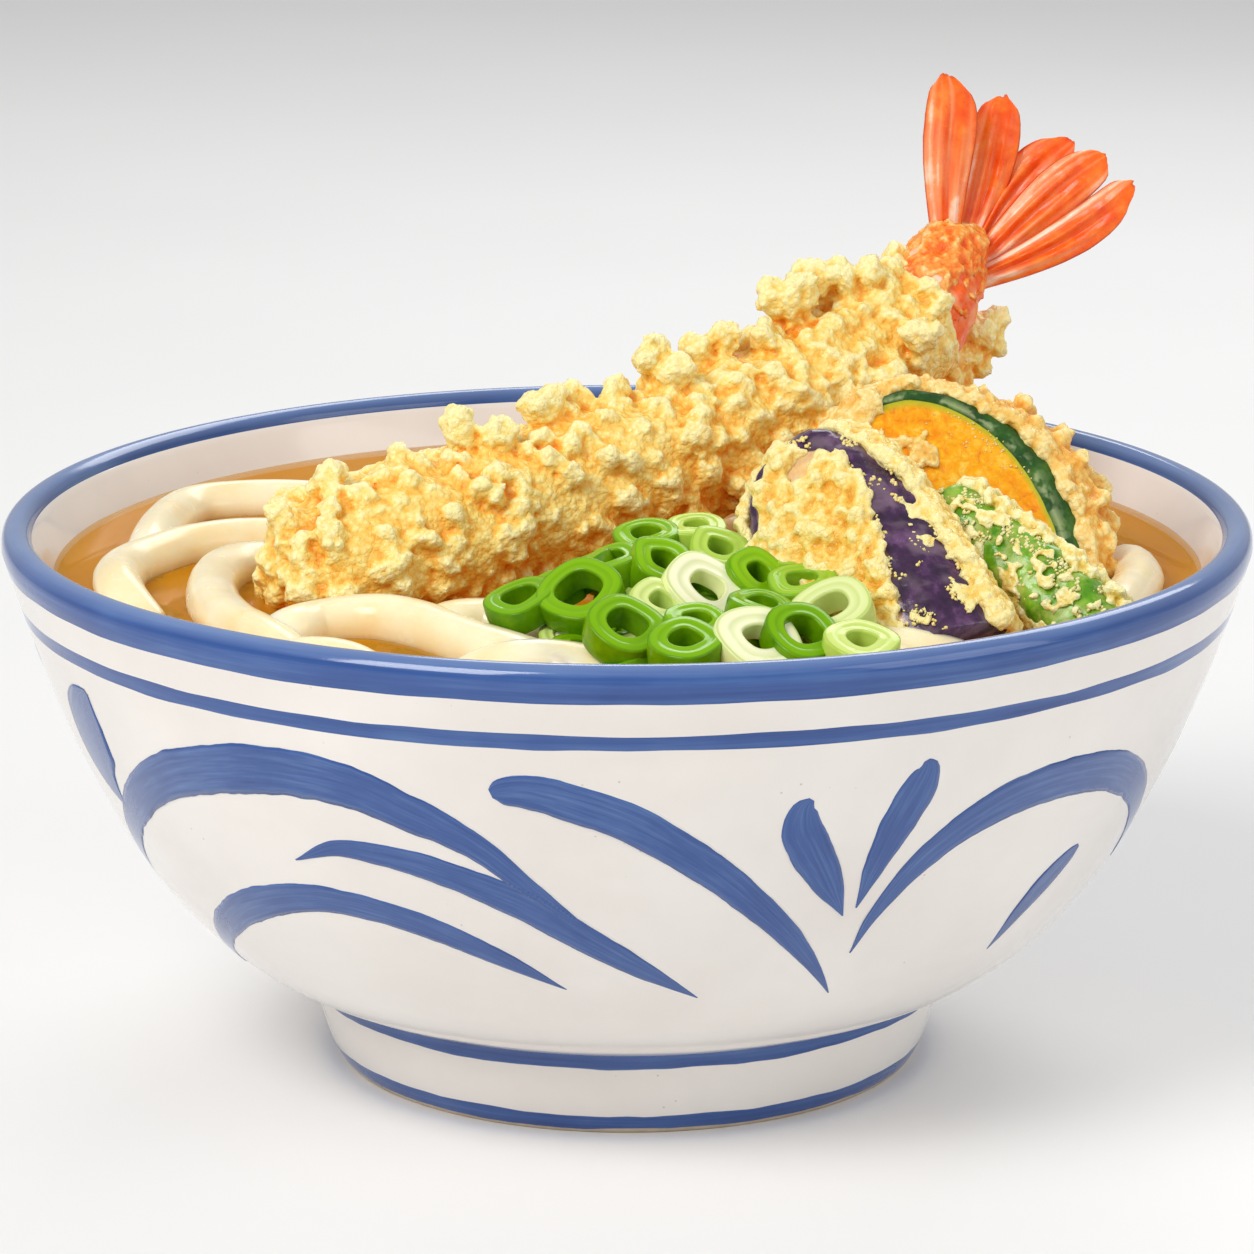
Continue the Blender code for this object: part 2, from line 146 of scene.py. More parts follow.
def sheet_faces(rows, columns):
    """Quads of an open grid of points."""
    row, column = np.meshgrid(np.arange(rows - 1), np.arange(columns - 1), indexing="ij")
    quads = np.stack([row * columns + column, row * columns + column + 1,
                      (row + 1) * columns + column + 1, (row + 1) * columns + column], axis=-1)
    return quads.reshape(-1, 4)


def closed_rings(rings):
    """Vertices and faces of a body through rings (rows, columns, 3), with a fan at both ends."""
    rows, columns = rings.shape[:2]
    verts = rings.reshape(-1, 3)
    ends = np.stack([rings[0].mean(axis=0), rings[-1].mean(axis=0)])
    first, last = len(verts), len(verts) + 1
    around = np.arange(columns)
    nxt = (around + 1) % columns
    base = (rows - 1) * columns
    start_fan = np.stack([nxt, around, np.full(columns, first)], axis=1)
    end_fan = np.stack([base + around, base + nxt, np.full(columns, last)], axis=1)
    return np.vstack([verts, ends]), [ring_faces(rows, columns), start_fan, end_fan]


def joined(parts):
    """One list of vertices and faces from several (vertices, faces, ...) parts."""
    all_verts, all_faces, start = [], [], 0
    for verts, faces, *_ in parts:
        all_verts.append(verts)
        all_faces += [block + start for block in (faces if isinstance(faces, list) else [faces])]
        start += len(verts)
    return np.vstack(all_verts), all_faces


def mesh_from(name, verts, faces):
    """A Blender mesh from millimetre vertices and blocks of quads or triangles."""
    blocks = faces if isinstance(faces, list) else [faces]
    mesh = bpy.data.meshes.new(name)
    mesh.vertices.add(len(verts))
    mesh.vertices.foreach_set("co", (np.asarray(verts, float) * MM).ravel())
    corners = np.concatenate([block.ravel() for block in blocks])
    sizes = np.concatenate([np.full(len(block), block.shape[1]) for block in blocks])
    mesh.loops.add(len(corners))
    mesh.loops.foreach_set("vertex_index", corners.astype(np.int32))
    mesh.polygons.add(len(sizes))
    starts = np.concatenate([[0], np.cumsum(sizes)[:-1]])
    mesh.polygons.foreach_set("loop_start", starts.astype(np.int32))
    mesh.update(calc_edges=True)
    mesh.validate()
    return mesh


def add_tone(mesh, tone):
    """Three working values per vertex, which the materials read as the attribute 'tone'."""
    values = np.ones((len(mesh.vertices), 4))
    values[:, :3] = np.clip(tone, 0, 1)
    attribute = mesh.color_attributes.new("tone", "FLOAT_COLOR", "POINT")
    attribute.data.foreach_set("color", values.ravel())


def face_outward(mesh):
    """Turns the faces' normals outward."""
    bm = bmesh.new()
    bm.from_mesh(mesh)
    bmesh.ops.recalc_face_normals(bm, faces=bm.faces)
    bm.to_mesh(mesh)
    bm.free()


def add_piece(name, verts, faces, materials, slot, tone=None, outward=True):
    """A piece of the object, riding on its one body."""
    mesh = mesh_from(name, verts, faces)
    if outward:
        face_outward(mesh)
    mesh.shade_smooth()
    if tone is not None:
        add_tone(mesh, tone)
    for material in materials:
        mesh.materials.append(material)
    piece = bpy.data.objects.new(name, mesh)
    bpy.context.scene.collection.objects.link(piece)
    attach(piece, "root")
    return piece


# ================================================================ material helper

class Graph:
    """A material's nodes, written as short calls."""

    def __init__(self, name):
        self.material = bpy.data.materials.new(name)
        self.material.use_nodes = True
        self.tree = self.material.node_tree
        self.shader = self.tree.nodes["Principled BSDF"]
        self.place = self.add("ShaderNodeTexCoord").outputs["Object"]

    def add(self, kind, **settings):
        made = self.tree.nodes.new(kind)
        for key, value in settings.items():
            setattr(made, key, value)
        return made

    def put(self, socket, value):
        if isinstance(value, bpy.types.NodeSocket):
            self.tree.links.new(value, socket)
        elif isinstance(value, tuple) and len(value) == 3 and socket.type == "RGBA":
            socket.default_value = (*value, 1.0)
        else:
            socket.default_value = value

    def set(self, **values):
        names = {"colour": "Base Color", "roughness": "Roughness", "normal": "Normal",
                 "coat": "Coat Weight", "coat_roughness": "Coat Roughness", "ior": "IOR",
                 "subsurface": "Subsurface Weight", "radius": "Subsurface Radius",
                 "scale": "Subsurface Scale", "specular": "Specular IOR Level",
                 "transmission": "Transmission Weight"}
        for key, value in values.items():
            self.put(self.shader.inputs[names[key]], value)

    def node(self, kind, output, inputs, **settings):
        """Adds a node, fills its inputs by name or number and returns one output."""
        made = self.add(kind, **settings)
        for key, value in inputs.items():
            self.put(made.inputs[key], value)
        return made.outputs[output]

    def stretched(self, x, y, z, source=None):
        return self.node("ShaderNodeMapping", "Vector",
                         {"Vector": source or self.place, "Scale": (x, y, z)})

    def noise(self, scale, detail=3.0, roughness=0.55, vector=None, distortion=0.0):
        return self.node("ShaderNodeTexNoise", "Fac",
                         {"Vector": vector or self.place, "Scale": scale, "Detail": detail,
                          "Roughness": roughness, "Distortion": distortion})

    def uneven(self, scale, detail, low, high):
        """A value that wavers between two ends over a surface."""
        return self.span(self.noise(scale, detail), 0.3, 0.7, low, high)

    def cells(self, scale):
        """Distance to the nearest of many scattered points."""
        return self.node("ShaderNodeTexVoronoi", "Distance", {"Vector": self.place, "Scale": scale})

    def ramp(self, factor, *stops):
        made = self.add("ShaderNodeValToRGB")
        self.put(made.inputs["Fac"], factor)
        elements = made.color_ramp.elements
        for number, (at, colour) in enumerate(stops):
            element = elements[number] if number < 2 else elements.new(at)
            element.position = at
            element.color = (*colour, 1.0)
        return made.outputs["Color"]

    def span(self, value, low, high, to_low=0.0, to_high=1.0):
        """Maps a value from one range to another, clamped."""
        return self.node("ShaderNodeMapRange", "Result",
                         {"Value": value, "From Min": low, "From Max": high,
                          "To Min": to_low, "To Max": to_high})

    def mix(self, factor, a, b, blend="MIX"):
        return self.node("ShaderNodeMix", 2, {0: factor, 6: a, 7: b}, data_type="RGBA",
                         blend_type=blend)

    def math(self, operation, a, b=0.0):
        return self.node("ShaderNodeMath", 0, {0: a, 1: b}, operation=operation)

    def tone(self):
        """The three channels of the mesh's tone attribute."""
        attribute = self.add("ShaderNodeAttribute", attribute_name="tone")
        split = self.add("ShaderNodeSeparateColor")
        self.put(split.inputs[0], attribute.outputs["Color"])
        return split.outputs[0], split.outputs[1], split.outputs[2]

    def height(self):
        return self.node("ShaderNodeSeparateXYZ", "Z", {0: self.place})

    def bump(self, height, strength, distance, below=None):
        """A bumped normal; the distance is in millimetres."""
        inputs = {"Strength": strength, "Distance": distance * MM, "Height": height}
        if below is not None:
            inputs["Normal"] = below
        return self.node("ShaderNodeBump", "Normal", inputs)


# ================================================================ bowl

FOOT_HEIGHT = 14.4
FOOT_TOP_RADIUS = 51.6
FOOT_BOTTOM_RADIUS = 46.6
FOOT_INNER_RADIUS = 41.2
RECESS_HEIGHT = 9.0
FLOOR_HEIGHT = 16.0
LIP_WIDTH = 4.8
LIP_ROUNDING = 2.6
# How far below the rim the outer wall ends and the rounded lip begins
WALL_TOP = 3.5
BOWL_COLUMNS = 224
# Places of the bowl's materials in its list
WHITE, BLUE, CLAY, UNDER_BROTH = range(4)


def cubic(start, leave, arrive, end, count):
    t = np.linspace(0, 1, count)[:, None]
    start, leave, arrive, end = (np.array(p, float) for p in (start, leave, arrive, end))
    return ((1 - t) ** 3 * start + 3 * (1 - t) ** 2 * t * leave + 3 * (1 - t) * t * t * arrive
            + t ** 3 * end)


def outer_wall():
    """(radius, height) points of the outside, from the table to the lip."""
    foot = cubic((FOOT_BOTTOM_RADIUS, 0.0), (FOOT_BOTTOM_RADIUS + 1.6, 0.6),
                 (FOOT_TOP_RADIUS - 1.0, 8.0), (FOOT_TOP_RADIUS, FOOT_HEIGHT), 60)
    wall = cubic((FOOT_TOP_RADIUS, FOOT_HEIGHT), (78.0, 20.8), (92.4, 60.0),
                 (RIM_RADIUS, RIM_HEIGHT - WALL_TOP), 200)
    return np.vstack([foot, wall[1:]])


OUTER_WALL = outer_wall()
INNER_WALL = cubic((0.5, FLOOR_HEIGHT), (78.0, FLOOR_HEIGHT), (76.5, 54.0),
                   (RIM_RADIUS - LIP_WIDTH, RIM_HEIGHT - 2.1), 200)


def outer_radius(height):
    return np.interp(height, OUTER_WALL[:, 1], OUTER_WALL[:, 0])


def inner_radius(height):
    return np.interp(height, INNER_WALL[:, 1], INNER_WALL[:, 0])


# Edges of the painted bands on the outside: blue from each first height to the second.
FOOT_BAND = (0.7, 3.4)
FOOT_TOP_BAND = (11.9, FOOT_HEIGHT - 0.1)
THIN_BAND = (75.9, 78.3)
RIM_BAND = 83.6


def banded_heights():
    """Heights of the bowl's outer rows, with a row on each band edge, and each row's material."""
    edges = [0.0, *FOOT_BAND, *FOOT_TOP_BAND, *THIN_BAND, RIM_BAND, RIM_HEIGHT - WALL_TOP]
    kinds = [CLAY, BLUE, WHITE, BLUE, WHITE, BLUE, WHITE, BLUE]
    heights, rows = [], []
    for low, high, kind in zip(edges, edges[1:], kinds):
        count = max(2, int((high - low) / 0.9))
        heights += list(np.linspace(low, high, count, endpoint=False))
        rows += [kind] * count
    return np.array(heights + [edges[-1]]), rows, np.array(edges)


def turned(profile_radius, profile_height, angles):
    """Rings of points: one row for each radius and height, which may also differ round the ring."""
    radius, height = profile_radius + 0 * angles, profile_height + 0 * angles
    return np.stack([radius * np.cos(angles), radius * np.sin(angles), height], axis=-1)


def wavering_outside(angles):
    """Radii and heights of the outer rows: painted edges waver a little, the ends stay level."""
    heights, row_kinds, edges = banded_heights()
    places = np.stack([np.cos(angles) * 60, np.sin(angles) * 60, angles * 0], axis=1)
    waver = np.stack([0.22 * lattice_noise(places, 14, 20 + k)
                      + 0.12 * lattice_noise(places, 4, 40 + k) for k in range(len(edges))])
    foot_edge = list(edges).index(FOOT_TOP_BAND[1])
    waver[[0, foot_edge, -1]] = 0
    shift = np.stack([np.interp(heights, edges, waver[:, k]) for k in range(len(angles))], axis=1)
    outer_z = np.clip(heights[:, None] + shift, 0, RIM_HEIGHT - WALL_TOP)
    at_corner = np.abs(heights[:, None] - FOOT_HEIGHT) < 0.6
    outer_r = np.where(at_corner, outer_radius(heights)[:, None], outer_radius(outer_z))
    return outer_r, outer_z, row_kinds


def underside():
    """(radius, height) points from the middle of the recess to the foot's inner edge."""
    return np.array([(0.5, RECESS_HEIGHT), (15.0, RECESS_HEIGHT), (30.0, RECESS_HEIGHT),
                     (FOOT_INNER_RADIUS - 3.6, RECESS_HEIGHT - 0.1),
                     (FOOT_INNER_RADIUS - 1.6, RECESS_HEIGHT - 1.0),
                     (FOOT_INNER_RADIUS - 0.8, RECESS_HEIGHT - 2.5),
                     (FOOT_INNER_RADIUS, 0.4), (FOOT_INNER_RADIUS + 0.4, 0.0)])


def build_bowl():
    angles = circle(BOWL_COLUMNS)
    outer_r, outer_z, row_kinds = wavering_outside(angles)
    lip_angles = np.radians(np.linspace(12, 168, 22))
    lip_r = RIM_RADIUS - LIP_WIDTH / 2 + LIP_WIDTH / 2 * np.cos(lip_angles)
    lip_z = RIM_HEIGHT - LIP_ROUNDING + LIP_ROUNDING * np.sin(lip_angles)
    inner = INNER_WALL[::-1][::2]
    under = underside()
    rings = np.concatenate([
        turned(under[:, :1], under[:, 1:], angles),
        turned(outer_r, outer_z, angles),
        turned(lip_r[:, None], lip_z[:, None], angles),
        turned(inner[:, :1], inner[:, 1:], angles),
    ])
    flat = rings.reshape(-1, 3)
    height = flat[:, 2]
    ripple = 0.10 * layered_noise(flat * np.array([0.15, 0.15, 1]), 7, 3)
    ripple *= np.clip((height - 1) / 3, 0, 1) * np.clip((RIM_HEIGHT - 3 - height) / 5, 0, 1)
    flat = flat + unit(flat * np.array([1, 1, 0])) * ripple[:, None]
    verts, faces = closed_rings(flat.reshape(rings.shape))
    materials = [white_glaze(), blue_glaze(), bare_clay(), glaze_under_broth()]
    piece = add_piece("bowl_glazed", verts, faces, materials, "bowl")
    kinds = [WHITE] * (len(under) - 3) + [CLAY] * 3 + row_kinds + [BLUE] * (len(lip_r) + 1)
    kinds += [UNDER_BROTH if z < BROTH_LEVEL - 0.4 else WHITE for z in inner[:-1, 1]]
    material = np.repeat(np.array(kinds[:rings.shape[0] - 1]), BOWL_COLUMNS)
    material = np.concatenate([material, np.full(2 * BOWL_COLUMNS, WHITE)])
    piece.data.polygons.foreach_set("material_index", material.astype(np.int32))
    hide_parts("bowl")


def white_glaze():
    g = Graph("white_glaze")
    cloud = g.noise(28.0, 4.0)
    base = g.ramp(cloud, (0.35, (0.785, 0.735, 0.69)), (0.65, (0.84, 0.80, 0.755)))
    speck = g.span(g.cells(420.0), 0.05, 0.10, 1.0, 0.0)
    rare = g.span(g.noise(70.0, 2.0), 0.60, 0.66)
    base = g.mix(g.math("MULTIPLY", g.math("MULTIPLY", speck, rare), 0.45), base, (0.30, 0.20, 0.13))
    g.set(colour=base, roughness=g.uneven(60.0, 3.0, 0.10, 0.20))
    g.set(normal=g.bump(g.noise(160.0, 2.0), 0.10, 0.25), coat=0.35, coat_roughness=0.06)
    return g.material


def glaze_under_broth():
    """The glaze as it is seen through the broth."""
    g = Graph("glaze_under_broth")
    cloud = g.noise(28.0, 4.0)
    g.set(colour=g.ramp(cloud, (0.35, (0.66, 0.29, 0.015)), (0.65, (0.80, 0.40, 0.035))))
    g.set(roughness=0.25, normal=g.bump(g.noise(160.0, 2.0), 0.10, 0.25))
    return g.material


def blue_glaze():
    g = Graph("blue_glaze")
    streak = g.noise(1.0, 4.0, 0.6, g.stretched(22.0, 22.0, 900.0))
    cloud = g.noise(45.0, 3.0)
    tint = g.math("ADD", g.math("MULTIPLY", streak, 0.6), g.math("MULTIPLY", cloud, 0.4))
    base = g.ramp(tint, (0.30, (0.014, 0.050, 0.215)), (0.5, (0.030, 0.086, 0.292)),
                  (0.72, (0.080, 0.165, 0.39)))
    # The lip's crest turns a paler blue: partly the glaze thinning over the edge, partly a painted
    # highlight.
    crest_thin_glaze_and_highlight = g.span(g.height(), (RIM_HEIGHT - 1.6) * MM, RIM_HEIGHT * MM)
    base = g.mix(g.math("MULTIPLY", crest_thin_glaze_and_highlight, 0.45), base, (0.26, 0.37, 0.62))
    g.set(colour=base, roughness=g.uneven(60.0, 3.0, 0.08, 0.16))
    g.set(normal=g.bump(g.noise(160.0, 2.0), 0.10, 0.25), coat=0.15, coat_roughness=0.06)
    return g.material


def brush_blue():
    """Paint of the strokes: darker streaks run along each stroke, from its own UV map."""
    g = Graph("brush_blue")
    uv = g.add("ShaderNodeUVMap", uv_map="stroke").outputs["UV"]
    streak = g.noise(1.0, 4.0, 0.6, g.stretched(3.0, 9.0, 1.0, uv))
    cloud = g.noise(70.0, 3.0)
    tint = g.math("ADD", g.math("MULTIPLY", streak, 0.7), g.math("MULTIPLY", cloud, 0.3))
    base = g.ramp(tint, (0.30, (0.016, 0.055, 0.225)), (0.5, (0.034, 0.092, 0.300)),
                  (0.74, (0.090, 0.175, 0.40)))
    g.set(colour=base, roughness=0.12, coat=0.15, coat_roughness=0.06)
    g.set(normal=g.bump(g.noise(160.0, 2.0), 0.10, 0.25))
    return g.material


def bare_clay():
    g = Graph("bare_clay")
    base = g.ramp(g.noise(240.0, 5.0), (0.3, (0.50, 0.40, 0.29)), (0.7, (0.66, 0.55, 0.42)))
    g.set(colour=base, roughness=0.8, normal=g.bump(g.noise(900.0, 3.0), 0.5, 0.15))
    return g.material


# Brush strokes: (angle from the front in degrees, height, half width) along each middle line.
STROKES = {
    "leaf_far_left": ((-60.5, 71.5, 0.6), (-62.5, 68, 5.0), (-64.5, 62, 7.2), (-65, 56.5, 5.0),
                      (-63.5, 50.8, 0.1)),
    "arc_upper_left": ((-76, 31, 0.1), (-69, 42, 2.0), (-60, 52.5, 3.2), (-49, 62, 3.9),
                       (-36, 67.3, 4.4), (-27, 67.3, 4.1), (-20.5, 63.8, 3.5), (-14.5, 59, 2.5),
                       (-9.5, 52, 1.6), (-4, 44.5, 0.4)),
    "arc_middle": ((-34.5, 52.2, 0.1), (-28.5, 55.8, 1.6), (-21, 54.9, 2.4), (-15.3, 52.2, 2.7),
                   (-9.5, 48.2, 3.0), (-4, 42.6, 2.6), (2, 36.8, 1.8), (8.1, 31.2, 0.1)),
    "arc_lower_left": ((-66, 22, 0.2), (-57, 31, 2.2), (-46.5, 39.5, 3.0), (-37.5, 44.4, 2.9),
                       (-30, 45.7, 2.7), (-21.8, 43.6, 2.5), (-14, 38.8, 1.9), (-6.8, 33, 0.1)),
    "arc_right": ((-12.2, 68.2, 0.8), (-11.2, 68.6, 2.3), (-8.6, 68.7, 3.0), (-4.5, 66.9, 3.4),
                  (0, 64, 3.4), (4.5, 59.4, 3.2), (9.3, 53.6, 2.8), (14.6, 46.0, 2.3),
                  (19.2, 38.7, 1.5), (24.4, 29.7, 0.1)),
    "leaf_one": ((16.8, 66.6, 0.5), (16.2, 65.0, 2.1), (16.3, 61.5, 3.1), (17.6, 57.4, 3.3),
                 (19.9, 51.6, 2.5), (22.5, 45.1, 0.1)),
    "leaf_two": ((27.6, 71.2, 0.5), (27.9, 69.6, 2.1), (27.2, 65.6, 3.3), (25.8, 59.6, 3.0),
                 (24.6, 53, 1.8), (23.8, 46.3, 0.1)),
    "arc_far_right": ((24.9, 37.6, 0.1), (26.2, 44.5, 1.1), (29.6, 52.8, 2.3), (34.4, 58.7, 3.2),
                      (39.9, 61.9, 3.7), (46.6, 62.6, 3.8), (55, 60.4, 3.6), (63, 54.5, 3.0),
                      (69, 47, 2.0), (74, 38, 0.1)),
    "leaf_far_right": ((54.2, 48.0, 0.5), (53.2, 46.6, 2.0), (51.0, 43.2, 2.9), (49.0, 38.2, 2.1),
                       (47.5, 31.5, 0.1)),
}
SIDE_LEAVES = ("leaf_one", "leaf_two")
SIDE_LEAF_TURNS = (69.0, 249.0)


def wall_point(angle, height, lift):
    """Point on the outer wall, lifted off it along its normal; angle in degrees from the front."""
    slope = (outer_radius(height + 0.3) - outer_radius(height - 0.3)) / 0.6
    fall = np.sqrt(1 + slope * slope)
    radius = outer_radius(height) + lift / fall
    a = np.radians(angle)
    return np.stack([radius * np.sin(a), -radius * np.cos(a), height - lift * slope / fall], axis=-1)


# Millimetres round the wall for one degree, about half way up
MM_PER_DEGREE = 1.55


def stroke_sheet(points, turn, seed):
    """A painted stroke as a thin skin on the wall, its borders sunk into the glaze."""
    line = smooth_route([(a * MM_PER_DEGREE, h, w) for a, h, w in points], 0.7)
    line[:, 2] = np.maximum(line[:, 2], 0.03)
    angle, height, half = line[:, 0] / MM_PER_DEGREE, line[:, 1], line[:, 2]
    middle = wall_point(angle, height, 0.0)
    along = unit(np.gradient(middle, axis=0))
    normal = unit(wall_point(angle, height, 1.0) - middle)
    across = np.cross(normal, along)
    run = run_along(middle)
    marks = np.array([-1.0, -1.0, -0.75, -0.5, -0.25, 0, 0.25, 0.5, 0.75, 1.0, 1.0])
    rows, uv = [], []
    for number, mark in enumerate(marks):
        edge_places = np.stack([run, run * 0 + 7 * np.sign(mark), run * 0 + seed], axis=1)
        ragged = 1 + 0.06 * layered_noise(edge_places, 3.0, 11) * abs(mark)
        point = middle + across * (half * mark * ragged)[:, None]
        a = np.degrees(np.arctan2(point[:, 0], -point[:, 1])) + turn
        lift = -0.12 if number in (0, len(marks) - 1) else 0.07
        rows.append(wall_point(a, point[:, 2], lift))
        uv.append(np.stack([run / 40 + seed, run * 0 + mark * 0.5 + seed], axis=1))
    grid = np.stack(rows, axis=1)
    faces = sheet_faces(grid.shape[0], grid.shape[1])
    return grid.reshape(-1, 3), faces, np.stack(uv, 1).reshape(-1, 2)


def build_strokes():
    sheets, seed = [], 0
    for turn in (0.0, 180.0):
        for points in STROKES.values():
            sheets.append(stroke_sheet(points, turn, seed))
            seed += 1
    for turn in SIDE_LEAF_TURNS:
        for name in SIDE_LEAVES:
            sheets.append(stroke_sheet(STROKES[name], turn, seed))
            seed += 1
    verts, faces = joined(sheets)
    piece = add_piece("bowl_brush_strokes", verts, faces, [brush_blue()], "bowl", outward=False)
    uv = np.vstack([sheet_uv for _, _, sheet_uv in sheets])
    layer = piece.data.uv_layers.new(name="stroke")
    corners = np.empty(len(piece.data.loops), np.int32)
    piece.data.loops.foreach_get("vertex_index", corners)
    layer.data.foreach_set("uv", uv[corners].ravel())


# ================================================================ crumbs and crusts

def ball(detail):
    bm = bmesh.new()
    bmesh.ops.create_icosphere(bm, subdivisions=detail, radius=1.0)
    verts = np.array([v.co[:] for v in bm.verts])
    faces = np.array([[v.index for v in f.verts] for f in bm.faces])
    bm.free()
    return verts, faces


BALL = ball(2)
GRAIN = ball(1)


def balls(centres, radii, shape=BALL, rough=0.16):
    """Many small balls, each a little uneven."""
    verts, faces = shape
    count = len(centres)
    uneven = 1 + rough * random.standard_normal((count, len(verts), 1)).clip(-1.5, 1.5)
    points = centres[:, None] + np.asarray(radii)[:, None, None] * verts[None] * uneven
    offsets = (np.arange(count) * len(verts))[:, None, None]
    return points.reshape(-1, 3), (faces[None] + offsets).reshape(-1, 3)


def random_directions(count):
    return unit(random.standard_normal((count, 3)))


def florets(centres, normals, sizes, count, low, high):
    """Round lumps with grains all over their outer sides, like crisp batter. Two bodies of balls."""
    share = sizes ** 2 / (sizes ** 2).sum()
    pick = random.choice(len(centres), count, p=share)
    away = unit(random_directions(count) + 0.55 * normals[pick])
    at = centres[pick] + away * (sizes[pick] * random.uniform(0.80, 1.08, count))[:, None]
    return [balls(centres, sizes, BALL, 0.07), balls(at, random.uniform(low, high, count), GRAIN)]


def satellites(centres, normals, sizes, each):
    """The same lumps with a few smaller ones leaning out of each."""
    count = len(centres)
    away = unit(random_directions(count * each).reshape(count, each, 3) + 0.8 * normals[:, None])
    share = random.uniform(0.45, 0.75, (count, each))
    reach = sizes[:, None] * random.uniform(0.7, 1.0, (count, each))
    more = centres[:, None] + away * reach[..., None]
    return (np.vstack([centres, more.reshape(-1, 3)]), np.vstack([normals, away.reshape(-1, 3)]),
            np.concatenate([sizes, (sizes[:, None] * share).ravel()]))


def fused(parts, voxel):
    """The outer skin of overlapping bodies, as vertices and quads, by a voxel remesh."""
    verts, faces = joined(parts)
    mesh = mesh_from("fuse", verts, faces)
    helper = bpy.data.objects.new("fuse", mesh)
    bpy.context.scene.collection.objects.link(helper)
    remesh = helper.modifiers.new("Remesh", "REMESH")
    remesh.mode = "VOXEL"
    remesh.voxel_size = voxel * MM
    remesh.adaptivity = 0.0
    shaped = helper.evaluated_get(bpy.context.evaluated_depsgraph_get()).to_mesh()
    out = np.empty(len(shaped.vertices) * 3)
    shaped.vertices.foreach_get("co", out)
    corners = np.empty(len(shaped.loops), np.int32)
    shaped.loops.foreach_get("vertex_index", corners)
    bpy.data.objects.remove(helper)
    bpy.data.meshes.remove(mesh)
    return out.reshape(-1, 3) / MM, corners.reshape(-1, 4)


def quad_edges(faces):
    pairs = np.concatenate([faces[:, [0, 1]], faces[:, [1, 2]], faces[:, [2, 3]], faces[:, [3, 0]]])
    return np.unique(np.sort(pairs, axis=1), axis=0)


def relaxed(values, edges, times, share=1.0):
    """Values averaged with their neighbours along the edges, again and again."""
    count = len(values)
    degree = np.maximum(np.bincount(edges.ravel(), minlength=count), 1)[:, None]
    for _ in range(times):
        total = np.zeros_like(values)
        for k in range(values.shape[1]):
            total[:, k] = (np.bincount(edges[:, 0], values[edges[:, 1], k], count)
                           + np.bincount(edges[:, 1], values[edges[:, 0], k], count))
        values = values + share * (total / degree - values)
    return values


def vertex_normals(verts, faces):
    a, b, c, d = (verts[faces[:, k]] for k in range(4))
    face_normal = np.cross(c - a, d - b)
    total = np.zeros_like(verts)
    for k in range(4):
        for axis in range(3):
            total[:, axis] += np.bincount(faces[:, k], face_normal[:, axis], len(verts))
    return unit(total)


def crust(parts, voxel, grain=0.22):
    """A crumbly skin: vertices, quads, normals and how far each vertex stands out, near and wide."""
    verts, faces = fused(parts, voxel)
    edges = quad_edges(faces)
    verts = relaxed(verts, edges, 1, 0.35)
    normal = vertex_normals(verts, faces)
    verts = verts + normal * (grain * lattice_noise(verts, 1.1, 5)
                              + 0.5 * grain * lattice_noise(verts, 0.55, 6))[:, None]
    normal = vertex_normals(verts, faces)
    near = relaxed(verts, edges, 8)
    wide = relaxed(near, edges, 50)
    fine = ((verts - near) * normal).sum(axis=1)
    broad = ((verts - wide) * normal).sum(axis=1)
    return verts, faces, normal, fine / fine.std(), broad / broad.std()


def batter_material(name, deep, mid, pale, tip):
    """Tone: red is how far out a crumb stands, which paints light and shade: standing-out crumbs paler,
    hollows more orange. Green is browning and painted shade, which pulls the colour towards deep.
    """
    g = Graph(name)
    out, browning_and_shade, _ = g.tone()
    granule = g.cells(950.0)
    grit = g.cells(2300.0)
    fleck = g.noise(900.0, 3.0, 0.6)
    level = g.math("ADD", out, g.span(fleck, 0.3, 0.7, -0.10, 0.10))
    # Grain middles are painted paler and their rims darker: painted light and shade on each grain.
    level = g.math("ADD", level, g.span(granule, 0.15, 0.75, 0.10, -0.16))
    base = g.ramp(level, (0.04, deep), (0.34, mid), (0.62, pale), (0.90, tip))
    # Browning and painted shade pull the colour towards the deep orange.
    base = g.mix(g.math("MULTIPLY", browning_and_shade, 0.8), base, deep)
    g.set(colour=base, roughness=g.span(g.noise(700.0, 2.0), 0.35, 0.65, 0.22, 0.55))
    coarse = g.bump(g.span(granule, 0.0, 0.9, 1.0, 0.0), 0.75, 0.42)
    g.set(normal=g.bump(g.span(grit, 0.0, 0.9, 1.0, 0.0), 0.55, 0.16, coarse), specular=0.45)
    g.set(subsurface=0.18, radius=(1.0, 0.5, 0.15), scale=0.0012)
    return g.material


def add_batter(name, mesh, tone, material, slot):
    """A crust piece; tone is how far out each place stands (which paints its light and shade), its
    browning and painted shade, and a spare value.
    """
    verts, faces = mesh
    return add_piece(name, verts, faces, [material], slot, np.stack(tone, axis=1))


def add_crumbs(name, points, normals, keep, sizes, material, slot):
    """Loose crumbs at the kept places: small uneven grains that sit half sunk in a surface."""
    points, normals = points[keep], normals[keep]
    radii = random.uniform(*sizes, len(points))
    verts, faces = balls(points + normals * (radii * 0.3)[:, None], radii, GRAIN, 0.22)
    tone = np.tile([0.85, 0.0, 0.5], (len(verts), 1)) + random.normal(0, 0.05, (len(verts), 1))
    add_piece(name, verts, faces, [material], slot, tone)


# ================================================================ prawn

PRAWN_ROUTE = ((-56, -31, 85), (-46, -27, 86.5), (-34, -21, 88.5), (-20, -12, 91), (-4, -2, 94.5),
               (12, 9, 98.5), (27, 20, 103.5), (39, 30, 108.5), (47, 37, 113.5))
PRAWN_RADIUS = 12.4
